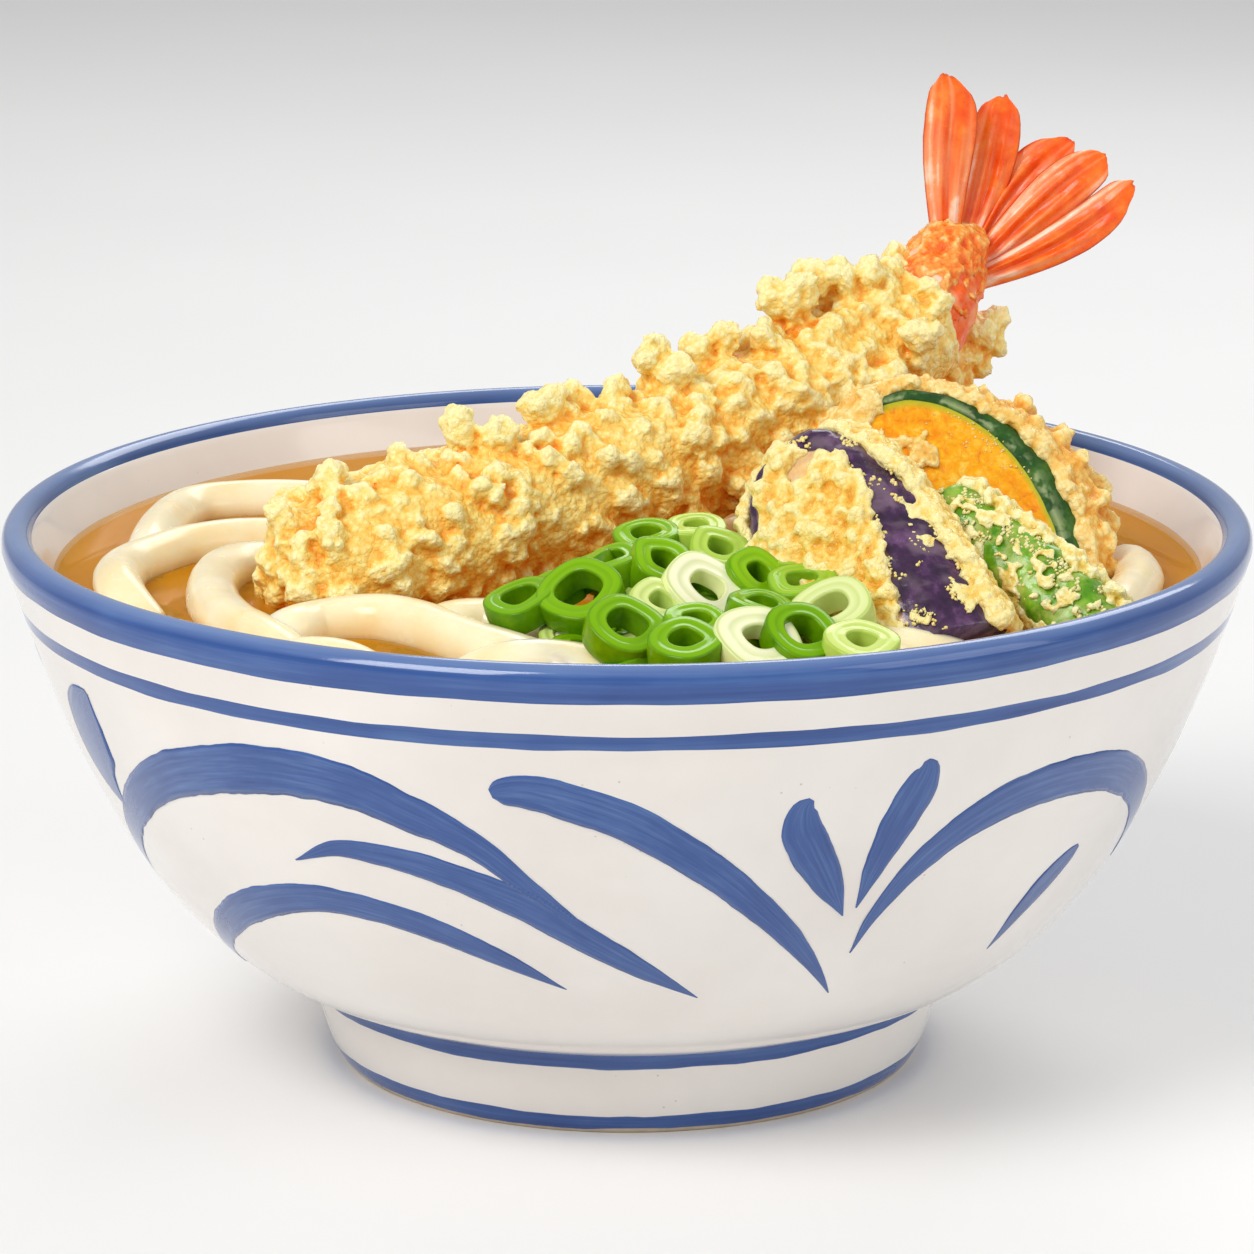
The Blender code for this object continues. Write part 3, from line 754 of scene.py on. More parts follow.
# Big knobs of batter: share along the prawn, angle round it (0 front, 90 top), standing out, size
PRAWN_KNOBS = (
    (0.03, 80, 0.5, 3.0), (0.06, 130, 0.5, 2.6), (0.10, 95, 1.5, 2.8), (0.20, 100, 0.5, 2.8),
    (0.29, 95, 3.0, 3.4), (0.33, 80, 1.5, 3.0), (0.41, 95, 2.5, 3.6), (0.46, 105, 2.2, 3.0),
    (0.52, 95, 1.2, 2.6), (0.585, 96, 4.2, 3.6), (0.60, 80, 2.2, 3.0), (0.66, 100, 2.0, 2.8),
    (0.70, 95, 2.4, 3.0), (0.75, 85, 1.0, 2.6), (0.80, 96, 4.6, 3.4), (0.83, 90, 4.4, 3.6),
    (0.87, 96, 4.6, 3.4), (0.91, 88, 3.4, 3.2), (0.95, 80, 2.2, 3.0), (0.03, 200, 0.5, 3.0),
    (0.02, 0, 1.0, 2.8), (0.05, -40, 1.2, 3.0), (0.14, -45, 1.0, 3.0), (0.22, -50, 1.4, 2.8),
    (0.33, -48, 1.0, 3.0), (0.44, -42, 1.0, 2.6), (0.55, -35, 1.2, 2.8), (0.63, -25, 1.6, 3.2),
    (0.70, -20, 1.8, 3.2), (0.76, -10, 2.0, 3.4), (0.86, 5, 1.5, 3.0), (0.93, 20, 1.6, 3.4),
)
# Batter that hangs on round the bare shell: place and size
SHELL_KNOBS = (((59.6, 46, 110.0), 3.6), ((60.6, 46, 107.2), 2.6), ((57.5, 44, 104.5), 2.8),
               ((55.0, 41, 101.5), 3.2), ((44.4, 43, 121.8), 2.5), ((42.0, 41, 117.0), 3.4),
               ((46.5, 41, 117.5), 2.6), ((50.5, 36.5, 106.5), 3.0), ((47.5, 34.5, 110.5), 3.2),
               ((51.0, 38.0, 102.5), 3.2), ((45.0, 46, 113.0), 3.6), ((52.0, 47, 105.0), 3.6),
               ((55.5, 43.0, 106.0), 3.0), ((53.5, 40.0, 102.8), 3.2), ((58.0, 44.5, 108.6), 2.6),
               ((42.0, 36.5, 119.5), 2.6), ((44.0, 40.0, 120.5), 2.4))


class Prawn:
    """The prawn's middle line and the radius of its batter along it, which narrows to the nose."""
    line = smooth_route(PRAWN_ROUTE, 1.0)
    direction, side, rise = axes_along(line)
    count = len(line)

    @classmethod
    def radius(cls, share):
        return PRAWN_RADIUS * round_end(share / 0.10, 0.04) * (1 - 0.13 * share)

    @classmethod
    def at(cls, share, angle, out):
        """Points and normals at a share of the length, an angle round it and a height above it."""
        where = np.clip(np.asarray(share, float), 0, 1) * (cls.count - 1)
        low = np.minimum(where.astype(int), cls.count - 2)
        part = (where - low)[:, None]
        pick = [a[low] * (1 - part) + a[low + 1] * part for a in (cls.line, cls.side, cls.rise)]
        a = np.radians(angle)[:, None]
        normal = np.cos(a) * pick[1] + np.sin(a) * pick[2]
        return pick[0] + normal * (cls.radius(share) + out)[:, None], normal


def prawn_core():
    share = np.linspace(0, 1, 60)
    angles = np.arange(0, 360, 12.0)
    s, a = np.meshgrid(share, angles, indexing="ij")
    points, normal = Prawn.at(s.ravel(), a.ravel(), np.zeros(s.size))
    points += normal * (1.0 * lattice_noise(points, 7, 2))[:, None]
    return closed_rings(points.reshape(60, len(angles), 3))


def build_prawn():
    count = 760
    centres, normals = Prawn.at(random.uniform(0, 1.0, count), random.uniform(-110, 240, count),
                                random.uniform(-1.2, 0.5, count))
    sizes = random.uniform(1.0, 2.3, count)
    knobs = np.array(PRAWN_KNOBS)
    knob_centres, knob_normals = Prawn.at(knobs[:, 0], knobs[:, 1], knobs[:, 2])
    ends = np.array([place for place, _ in SHELL_KNOBS], float)
    end_sizes = np.array([size for _, size in SHELL_KNOBS])
    end_normals = unit(ends - np.array([50, 41, 112.0]))
    big = satellites(np.vstack([knob_centres, ends]), np.vstack([knob_normals, end_normals]),
                     np.concatenate([knobs[:, 3] * 0.82, end_sizes * 0.82]), 6)
    centres, normals, sizes = (np.concatenate(pair) for pair in zip((centres, normals, sizes), big))
    parts = [prawn_core(), *florets(centres, normals, sizes, 11500, 0.45, 0.85)]
    verts, faces, normal, fine, broad = crust(parts, 0.53)
    marks = Prawn.line[::6]
    nearest = marks[np.argmin(((verts[:, None, :2] - marks[None, :, :2]) ** 2).sum(-1), axis=1)]
    stand = np.linalg.norm(verts - nearest, axis=1) - PRAWN_RADIUS
    # Places below the prawn's middle line get painted shade: the underside is darker and browner.
    low = np.clip((nearest[:, 2] - verts[:, 2]) / 12, 0, 1)
    # Painted light and shade: crumbs that stand out and faces turned up are paler, hollows darker.
    out = 0.60 + 0.14 * fine + 0.07 * broad + 0.010 * stand + 0.06 * normal[:, 2]
    out += 0.12 * lattice_noise(verts, 9, 8) + 0.08 * lattice_noise(verts, 3, 9) - 0.34 * low
    # Here browning is all painted shade, in the hollows and on the underside.
    browning_and_shade = np.clip(-0.30 * fine - 0.25 + 0.4 * low, 0, 1) * 0.6
    material = batter_material("prawn_batter", (0.88, 0.29, 0.015), (0.95, 0.54, 0.080),
                               (0.98, 0.745, 0.225), (0.99, 0.87, 0.43))
    piece = add_batter("prawn_batter", (verts, faces), (out, browning_and_shade, low), material, "prawn_coat")
    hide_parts("prawn_coat")


TAIL_SHELL_ROUTE = ((43, 34, 103), (46.5, 36.5, 108.5), (50, 40.5, 114), (53, 45, 120),
                    (55.0, 47.5, 125.0), (55.6, 48, 127))
# Blades: base, tip, half width, bow to the side, lean of the tip's corner, how pale the left edge is (pale
# shell and painted highlight)
TAIL_BLADES = (
    ((56.5, 51.0, 122.0), (62.6, 55.5, 147.6), 4.2, 1.0, 0.1, 0.3),
    ((53.2, 47.5, 122.5), (54.9, 49.0, 152.0), 4.5, -0.7, -0.38, 1.0),
    ((57.5, 50.5, 120.0), (73.8, 57.0, 140.2), 4.1, -1.4, 0.2, 1.0),
    ((58.0, 49.0, 119.0), (79.8, 53.0, 138.2), 4.2, -0.5, 0.15, 0.6),
    ((56.5, 47.0, 117.0), (85.2, 49.0, 132.6), 3.6, 1.5, -0.30, 1.0),
)
# A blade's half width: (share of its length, share of the half width)
BLADE_OUTLINE = ((0, 0.50), (0.1, 0.56), (0.3, 0.74), (0.5, 0.91), (0.66, 1.0), (0.8, 0.98),
                 (0.88, 0.91), (0.94, 0.80), (0.975, 0.66), (0.993, 0.48), (1.0, 0.30))


def blade_front(u, v, seed):
    """How far a blade's front stands out, for u from -1 to 1 across and v from 0 to 1 along it."""
    body = 1.7 * (1 - np.abs(u) ** 2.2) * (1 - 0.45 * v)
    ribs = 0.8 * bell(u, -0.30, 0.12) * (1 - v ** 3) + 0.5 * bell(u, 0.45, 0.14) * (1 - v ** 2)
    groove = 0.7 * bell(u, 0.06, 0.16) * np.sin(math.pi * np.clip(v * 1.1, 0, 1))
    groove = groove + 0.35 * bell(u, -0.62, 0.08) * (1 - v ** 2)
    vein = 0.07 * np.sin(u * 24 + 2 * np.sin(v * 5 + seed)) * np.sin(np.pi * v)
    return body + ribs - groove + vein


def blade_tone(u, v, pale_edge, seed):
    """Tone: red is how pale, partly pale shell and partly painted highlight; green the dark outer edge;
    blue the painted shade along the middle groove.
    """
    rows = len(v)
    place = np.stack([(u * 5 + 0 * v).ravel(), (v * 2.2 + 0 * u).ravel(),
                      np.full(u.size * rows, seed * 3.0)], 1)
    # Pale left edge, a patch low on the right and the base of the blade: partly pale shell, partly painted
    # highlight.
    light = pale_edge * bell(u, -0.72, 0.24) * (1 - 0.3 * v)
    light = light + 0.75 * bell(u, 0.42, 0.25) * bell(v, 0.18, 0.22)
    light = light + 0.45 * bell(v, 0, 0.14) + 0.25 * bell(u, 0.75, 0.12)
    light = light + 0.45 * layered_noise(place, 1.0, 3).reshape(rows, -1)
    edge = np.clip((np.abs(u) + 0 * v - 0.90) / 0.10, 0, 1)
    edge = edge + np.clip((v + 0 * u - 0.985) / 0.015, 0, 1)
    # Painted shade along the blade's middle groove.
    groove_shade = bell(u, 0.02, 0.22) * np.sin(math.pi * np.clip(v, 0, 1)) + 0 * v
    tone = [np.clip(light, 0, 1).ravel(), np.clip(edge, 0, 1).ravel(), groove_shade.ravel()]
    return np.stack(tone, axis=1)


def blade(base, tip, half_width, bow, lean, pale_edge, seed):
    """One tail blade: ridged front, blunt ragged tip, thin edges. Returns verts, faces, tone."""
    base, tip = np.array(base), np.array(tip)
    rows, half_columns = 76, 25
    along = unit(tip - base)
    facing = np.array([0.08, -1.0, 0.28])
    facing = unit(facing - facing @ along * along)
    across = np.cross(along, facing)
    v = (1 - (1 - np.linspace(0, 1, rows)) ** 1.35)[:, None]
    u_front = np.linspace(-1, 1, half_columns)[None]
    u = np.concatenate([u_front, u_front[:, ::-1][:, 1:-1]], axis=1)
    behind = np.arange(u.shape[1])[None] >= half_columns
    width = half_width * np.interp(v, *np.array(BLADE_OUTLINE).T)
    tip_places = np.stack([u.ravel() * 3, u.ravel() * 0 + seed, u.ravel() * 0], 1)
    notch = 0.016 * lattice_noise(tip_places, 0.8, seed).reshape(u.shape)
    reach = np.linalg.norm(tip - base) * (v - 0.05 * (np.abs(u) * v) ** 3 + notch * v ** 8)
    depth = np.where(behind, -0.6 * (1 - u ** 2), blade_front(u, v, seed))
    bend = bow * np.sin(math.pi * v) + lean * half_width * v ** 9
    points = (base + reach[..., None] * along + (width * u + bend)[..., None] * across
              + (depth + 0.8 * u ** 2 * v)[..., None] * facing)
    flat = points.reshape(-1, 3)
    flat = flat + facing * (0.16 * lattice_noise(flat, 1.6, seed))[:, None]
    verts, faces = closed_rings(flat.reshape(points.shape))
    tone = blade_tone(u, v, pale_edge, seed)
    return verts, faces, np.vstack([tone, tone[:1], tone[-1:]])


def shell_material():
    g = Graph("prawn_shell")
    light, edge, groove_shade = g.tone()
    mottle = g.noise(260.0, 4.0, 0.6)
    base = g.ramp(mottle, (0.32, (0.88, 0.080, 0.003)), (0.52, (0.97, 0.155, 0.009)),
                  (0.72, (0.99, 0.29, 0.04)))
    # Painted shade in the blades' middle grooves.
    base = g.mix(g.math("MULTIPLY", groove_shade, 0.55), base, (0.84, 0.070, 0.003))
    # Pale shell and painted highlight, from the tone's red.
    base = g.mix(g.math("MULTIPLY", light, 0.92), base, (0.99, 0.50, 0.24))
    # Where the pale tone is strongest the colour goes nearly white: painted glints.
    painted_glints = g.span(g.math("ADD", g.math("MULTIPLY", light, 0.8), mottle), 0.94, 1.18)
    base = g.mix(g.math("MULTIPLY", painted_glints, 0.70), base, (1.0, 0.80, 0.66))
    base = g.mix(g.math("MULTIPLY", edge, 0.6), base, (0.52, 0.03, 0.004))
    g.set(colour=base, roughness=g.uneven(300.0, 3.0, 0.20, 0.36))
    g.set(normal=g.bump(g.noise(700.0, 4.0, 0.6), 0.25, 0.2))
    g.set(specular=0.42, subsurface=0.08, radius=(1.0, 0.2, 0.05), scale=0.0015)
    return g.material


def tail_shell():
    """The bare last ring of shell, paler on its side that faces left and up towards the key light: partly
    a thin batter film, partly painted light.
    """
    route = smooth_route(TAIL_SHELL_ROUTE, 0.5)
    _, side, rise = axes_along(route)
    share = np.linspace(0, 1, len(route))
    radius = np.interp(share, [0, 0.25, 0.55, 0.8, 0.94, 1.0], [6.4, 7.9, 7.9, 6.6, 5.0, 3.2])
    angles = circle(64)
    ring = round_directions(angles, side, rise)
    keel = 0.7 * bell(angles[None], 0.9, 0.16)
    reach = radius[:, None] + keel * np.sin(math.pi * share)[:, None]
    points = route[:, None] + reach[..., None] * ring
    flat = points.reshape(-1, 3)
    normal = ring.reshape(-1, 3)
    uneven = 0.40 * layered_noise(flat, 2.6, 4) + 0.22 * lattice_noise(flat, 0.9, 5)
    flat = flat + normal * uneven[:, None]
    verts, faces = closed_rings(flat.reshape(points.shape))
    # Painted light on the sides that face the key light, broken up by noise like a film of batter; it
    # feeds the pale tone and its glints.
    left = np.clip(-(normal @ unit([0.75, 0.1, -0.3])) * 0.9 + 0.3, 0, 1)
    film = np.clip(left + 0.8 * layered_noise(flat, 1.5, 9), 0, 1)
    tone = np.stack([film * 0.85, film * 0, film * 0], axis=1)
    return verts, faces, np.vstack([tone, tone[:1], tone[-1:]])


def build_tail():
    parts = [tail_shell()]
    parts += [blade(*shape, seed) for seed, shape in enumerate(TAIL_BLADES)]
    verts, faces = joined(parts)
    tone = np.vstack([part_tone for _, _, part_tone in parts])
    piece = add_piece("prawn_tail_fan", verts, faces, [shell_material()], "prawn_tail", tone)
    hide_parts("prawn_tail")
    build_shell_film(parts[0][0])


def build_shell_film(shell):
    """Batter film on the bare shell: golden at its upper left, thin and red-orange at its lower right."""
    pick = random.integers(0, len(shell), 3000)
    centre = np.array([50.5, 42.0, 115.0])
    out = unit(shell[pick] - centre)
    spread = np.clip(0.9 * shell[pick, 2] - shell[pick, 0] - 44, 0, 10) / 10
    keep = layered_noise(shell[pick], 2.2, 91) > 0.35 - 0.9 * spread
    points, out, spread = shell[pick][keep], out[keep], spread[keep]
    radii = random.uniform(0.40, 0.75, len(points)) * (0.8 + 0.5 * spread)
    sunk = points + out * (radii * random.uniform(-0.5, 0.25, len(points)))[:, None]
    verts, faces, _, fine, broad = crust([balls(sunk, radii, GRAIN, 0.2)], 0.46, 0.15)
    golden = np.clip(0.9 * verts[:, 2] - verts[:, 0] - 46, 0, 12) / 12
    # Painted light and shade: grains that stand out are paler, hollows darker; golden where the batter is
    # thicker at the upper left.
    level = 0.04 + 0.15 * fine + 0.06 * broad + 0.46 * golden + 0.14 * lattice_noise(verts, 2.5, 7)
    material = batter_material("shell_film", (0.82, 0.085, 0.003), (0.93, 0.19, 0.012),
                               (0.98, 0.40, 0.07), (0.99, 0.70, 0.30))
    add_batter("shell_crumbs", (verts, faces), (level, level * 0, golden), material, "prawn_tail")


# ================================================================ aubergine

AUBERGINE_TOP = (28.5, -31, 107.5)
AUBERGINE_BOTTOM = (42.5, -62, 79)
AUBERGINE_FACE = (-0.385, -0.694, 0.609)
# Outline of the slice: (share of its length, how far it reaches left and right of the middle)
AUBERGINE_OUTLINE = ((0.0, 2.5, 2.5), (0.02, 4.6, 4.4), (0.05, 7.2, 6.2), (0.10, 10.4, 8.0),
                     (0.15, 12.4, 9.2), (0.20, 13.6, 10.2), (0.29, 14.6, 11.5), (0.42, 15.2, 12.8),
                     (0.62, 15.5, 14.2), (0.82, 15.6, 15.4), (1.0, 15.6, 16.2))
AUBERGINE_HALF_DEPTH = 6.4
# Outline of a cross section: x from -1 (left) to 1 (right), y to the cut face
AUBERGINE_SECTION = ((-1.0, -0.15), (-0.985, 0.35), (-0.93, 0.75), (-0.82, 0.95), (-0.6, 1.0),
                     (-0.2, 1.02), (0.12, 1.02), (0.30, 1.0), (0.45, 0.90), (0.64, 0.70),
                     (0.82, 0.40), (0.95, 0.05), (1.0, -0.35), (0.92, -0.75), (0.6, -1.0),
                     (0.0, -1.0), (-0.6, -1.0), (-0.92, -0.7))
# Where the purple skin begins and ends on the front: (share down, left, right) in mm from the middle
AUBERGINE_STRIP = ((-0.1, -6.0, 3.0), (0.03, -3.5, 5.0), (0.10, -1.0, 6.0), (0.15, 2.6, 7.2),
                   (0.22, 4.3, 9.0), (0.29, 5.2, 10.2), (0.41, 5.3, 11.6), (0.57, 4.8, 12.6),
                   (0.70, 4.1, 13.6), (0.85, 3.5, 14.6), (1.1, 3.0, 15.2))


class Aubergine:
    """The slice's own axes (down, side, face) and its shape."""
    top, bottom = np.array(AUBERGINE_TOP, float), np.array(AUBERGINE_BOTTOM, float)
    length = np.linalg.norm(bottom - top)
    down = unit(bottom - top)
    face = np.array(AUBERGINE_FACE, float)
    face = unit(face - face @ down * down)
    side = np.cross(face, down)
    section = smooth_route([(x, y, 0) for x, y in (*AUBERGINE_SECTION, AUBERGINE_SECTION[0])], 0.03)
    section = section[:-1, :2]

    @classmethod
    def at(cls, share, turn):
        """Points and normals: share down the slice, turn (0 to 1) round its section from the left."""
        share = np.asarray(share, float)
        shares, left, right = np.array(AUBERGINE_OUTLINE).T
        left, right = np.interp(share, shares, left), np.interp(share, shares, right)
        width = (left + right) / 2
        depth = AUBERGINE_HALF_DEPTH * np.interp(width, [0, 6, 14], [0.35, 0.72, 1.0])
        where = (np.asarray(turn, float) % 1) * len(cls.section)
        low = where.astype(int) % len(cls.section)
        after = (low + 1) % len(cls.section)
        part = (where - np.floor(where))[:, None]
        flat = cls.section[low] * (1 - part) + cls.section[after] * part
        ahead = unit(cls.section[after] - cls.section[low - 2])
        normal = unit((-ahead[:, 1] / width)[:, None] * cls.side * 6 + (ahead[:, 0])[:, None] * cls.face
                      - (np.clip(0.20 - share, 0, 1) * 3)[:, None] * cls.down)
        middle = cls.top + share[:, None] * (cls.bottom - cls.top)
        centre = middle + ((right - left) / 2)[:, None] * cls.side
        points = (centre + (flat[:, 0] * width)[:, None] * cls.side
                  + (flat[:, 1] * depth)[:, None] * cls.face)
        return points, normal

    @classmethod
    def across(cls, points):
        """Millimetres to the right of the middle, share down, and millimetres in front of the middle."""
        local = points - cls.top
        return local @ cls.side, local @ cls.down / cls.length, local @ cls.face

    @classmethod
    def left_edge(cls, down):
        shares, left, _ = np.array(AUBERGINE_OUTLINE).T
        return -np.interp(down, shares, left)

    @classmethod
    def bare(cls, points):
        """How far inside the bare skin strip a point on the front lies, in mm (negative outside)."""
        x, down, _ = cls.across(points)
        shares, left, right = np.array(AUBERGINE_STRIP).T
        return np.minimum(x - np.interp(down, shares, left), np.interp(down, shares, right) - x)


def skin_material():
    """Purple skin, and pale flesh where tone red says cut face."""
    g = Graph("aubergine_skin")
    cut, film, _ = g.tone()
    grain = g.noise(1.0, 4.0, 0.6, g.stretched(330.0, 330.0, 130.0))
    skin = g.ramp(grain, (0.30, (0.014, 0.004, 0.020)), (0.52, (0.048, 0.015, 0.062)),
                  (0.68, (0.13, 0.055, 0.15)), (0.85, (0.33, 0.20, 0.36)))
    flesh = g.ramp(g.noise(240.0, 4.0, 0.6), (0.3, (0.56, 0.27, 0.22)), (0.5, (0.80, 0.52, 0.20)),
                   (0.7, (0.90, 0.68, 0.32)))
    base = g.mix(cut, skin, flesh)
    base = g.mix(g.math("MULTIPLY", film, 0.25), base, (0.42, 0.30, 0.36))
    g.set(colour=base, roughness=g.uneven(350.0, 3.0, 0.14, 0.32))
    g.set(normal=g.bump(grain, 0.45, 0.45))
    return g.material


def build_aubergine():
    add_aubergine_slice()
    material = batter_material("aubergine_batter", (0.80, 0.35, 0.022), (0.91, 0.55, 0.085),
                               (0.96, 0.71, 0.20), (0.98, 0.83, 0.38))
    add_aubergine_batter(material)
    add_aubergine_crumbs(material)


def add_aubergine_slice():
    rows, columns = 110, 120
    share = np.concatenate([np.linspace(0.0, 0.2, 40, endpoint=False) ** 1.5 / 0.2 ** 0.5,
                            np.linspace(0.2, 1.0, rows - 40)])
    turn = np.linspace(0, 1, columns, endpoint=False)
    s, t = np.meshgrid(share, turn, indexing="ij")
    points, normal = Aubergine.at(s.ravel(), t.ravel())
    x, down, _ = Aubergine.across(points)
    wrinkle = lattice_noise(np.stack([x, down * 9, x * 0], axis=1), 2.2, 14)
    points += normal * (0.30 * layered_noise(points, 5, 3) + 0.22 * wrinkle
                        + 0.08 * lattice_noise(points, 1.0, 4))[:, None]
    verts, faces = closed_rings(points.reshape(rows, columns, 3))
    x, down, ahead = Aubergine.across(verts)
    waver = 0.5 * lattice_noise(verts, 3, 12)
    off_strip = np.clip((-Aubergine.bare(verts) - 0.1 + 0.3 * waver) / 0.4, 0, 1) * (x < 6)
    off_left_skin = np.clip((x - Aubergine.left_edge(down) - 3.0 + waver) / 0.5, 0, 1)
    cut = off_strip * off_left_skin * np.clip((ahead - 2.0) / 1.0, 0, 1)
    film = np.clip(1.8 * layered_noise(verts, 3.2, 51) - 0.25, 0, 1)
    piece = add_piece("aubergine_skin_and_flesh", verts, faces, [skin_material()], "aubergine_slice",
                      np.stack([cut, film, down], axis=1))
    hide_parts("aubergine_slice")


def aubergine_batter_places(count):
    """Places of the batter with normals and two masks: thin pale grains on the skin, and the back."""
    share = random.uniform(0.0, 1.0, count)
    turn = random.uniform(0, 1, count)
    points, normal = Aubergine.at(share, turn)
    x, down, ahead = Aubergine.across(points)
    bare = Aubergine.bare(points)
    patch = layered_noise(points, 3.4, 15)
    front = ahead > 1.0
    from_left = x - Aubergine.left_edge(down)
    waver = 0.6 * lattice_noise(points, 3, 12)
    left_skin = ((from_left > 0.5) & (from_left < 3.2 + waver) & (down > 0.07) & (down < 0.33)
                 & (ahead > -1.5))
    flesh_gap = np.hypot((x + 0.6) / 4.4, (down - 0.17) * Aubergine.length / 2.6) < 1
    flesh_gap &= patch < 0.45
    on_face = front & (bare < -0.4) & (x < 6) & ~left_skin & ~flesh_gap
    on_right = front & (x > 4) & (bare < 0.2)
    on_strip = front & (bare > 0.9) & (patch > 0.62) & (down > 0.28)
    strip_edge = front & (bare > -0.5) & (bare < 3.2) & (x > 9) & (patch > -0.05) & (down > 0.42)
    behind = ~front & ~left_skin
    keep = on_face | on_right | on_strip | strip_edge | behind
    return points[keep], normal[keep], (on_strip | strip_edge)[keep], behind[keep]


def add_aubergine_batter(material):
    points, normal, pale, behind = aubergine_batter_places(12500)
    count = len(points)
    size = np.where(behind, random.uniform(0.8, 1.6, count), random.uniform(0.50, 0.90, count))
    size = np.where(pale, random.uniform(0.32, 0.55, count), size)
    raised = random.uniform(-0.2, 0.8, count) + 0.45 * lattice_noise(points, 3.5, 61)
    points = points + normal * np.where(pale, 0.0, raised)[:, None]
    lump = np.flatnonzero(~pale & (random.uniform(0, 1, count) < 0.050))
    lumps = (points[lump] + 0.45 * normal[lump], normal[lump], random.uniform(0.8, 1.6, len(lump)))
    parts = [balls(points, size, GRAIN), *florets(*lumps, 3400, 0.35, 0.60)]
    verts, faces, normal, fine, broad = crust(parts, 0.46)
    x, down, ahead = Aubergine.across(verts)
    # Painted light and shade: crumbs that stand out and faces turned up are paler, hollows darker; the
    # crust is also darker towards the bottom of the slice.
    out = 0.58 + 0.17 * fine + 0.07 * broad + 0.05 * normal[:, 2] + 0.20 * lattice_noise(verts, 4, 3)
    out += 0.14 * (Aubergine.bare(verts) > 0.3) - 0.10 * np.clip((down - 0.5) * 1.5, 0, 1)
    right_side, back = np.clip((x - 13) / 4, 0, 1), np.clip(-ahead / 4, 0, 1)
    # Painted shade in the hollows, and browner on the right side and at the back.
    browning_and_shade = np.clip(-0.3 * fine - 0.3 + 0.5 * right_side + 0.5 * back, 0, 1) * 0.6
    add_batter("aubergine_batter", (verts, faces), (out, browning_and_shade, down), material, "aubergine_slice")


def add_aubergine_crumbs(material):
    """Crumbs along the edge of the bare skin and scattered over it."""
    share = random.uniform(0.02, 1.0, 5200)
    turn = random.uniform(0.0, 0.5, 5200)
    points, normal = Aubergine.at(share, turn)
    bare = Aubergine.bare(points)
    on_ridge = (bare > 0.0) & (bare < 0.8) & (lattice_noise(points, 2.0, 41) > 0.05)
    loose = (bare > 0.8) & (layered_noise(points, 3.4, 15) > 0.30)
    add_crumbs("aubergine_skin_crumbs", points, normal, on_ridge | loose, (0.12, 0.36), material,
               "aubergine_slice")


# ================================================================ pumpkin

PUMPKIN_CENTRE = (51.5, -21, 89)
PUMPKIN_RIGHT = (0.975, 0.20, 0.10)
PUMPKIN_UP = (-0.12, 0.48, 0.87)
# Outline of the cut face: (angle from the right, reach to the rind's outside, share of it that is flesh)
PUMPKIN_OUTLINE = ((-62, 17.5, 0.88), (-35, 18.8, 0.88), (-6, 18.8, 0.87), (10, 18.3, 0.86),
                   (25, 18.5, 0.86), (39, 19.2, 0.87), (53, 20.4, 0.88), (66, 21.9, 0.895),
                   (77, 23.3, 0.91), (86, 24.6, 0.92), (97, 25.8, 0.935), (110, 25.9, 0.955),
                   (122, 24.5, 0.97), (140, 20.5, 1.0), (180, 16.0, 1.0), (240, 14.2, 1.0),
                   (285, 15.6, 0.95), (298, 17.5, 0.86))
PUMPKIN_FIRST_ANGLE = -62
PUMPKIN_THICKNESS = 11.5
# Angles between which the rind runs round the slice
RIND_FROM, RIND_TO = -66, 125
# Big knobs of batter on the rind: (angle, depth behind the face, standing out, size)
PUMPKIN_KNOBS = ((112, 2.0, 1.0, 2.4), (104, 3.0, 0.6, 1.8), (94, 5, 0.6, 1.8), (80, 5, 1.0, 1.8),
                 (68, 6, 1.0, 2.0), (52, 7, 2.4, 2.5), (46, 4, 1.0, 2.2), (36, 6, 1.6, 2.5),
                 (26, 4, 1.2, 2.6), (18, 8, 2.0, 2.6), (10, 4, 1.4, 2.6), (2, 7, 1.6, 2.5),
                 (-6, 4, 1.2, 2.5), (-14, 6, 1.4, 2.6), (-22, 3, 1.0, 2.4), (-30, 6, 1.2, 2.5),
                 (120, 6, 1.0, 2.2), (30, 10, 1.0, 2.6), (5, 10, 1.2, 2.6), (-20, 10, 1.2, 2.6))
# Stray lumps on the cut face: count, angles from and to, shares of the reach from and to, sizes
PUMPKIN_PATCHES = ((60, 108, 128, 0.92, 1.04, (0.9, 1.7)), (230, 128, 250, 0.80, 1.05, (0.6, 1.4)),
                   (46, 92, 112, 0.50, 0.72, (0.5, 1.2)), (120, 112, 200, 0.62, 0.85, (0.5, 1.1)),
                   (60, -50, -20, 0.80, 1.02, (0.6, 1.2)), (300, 180, 300, 0.55, 1.02, (0.6, 1.3)))


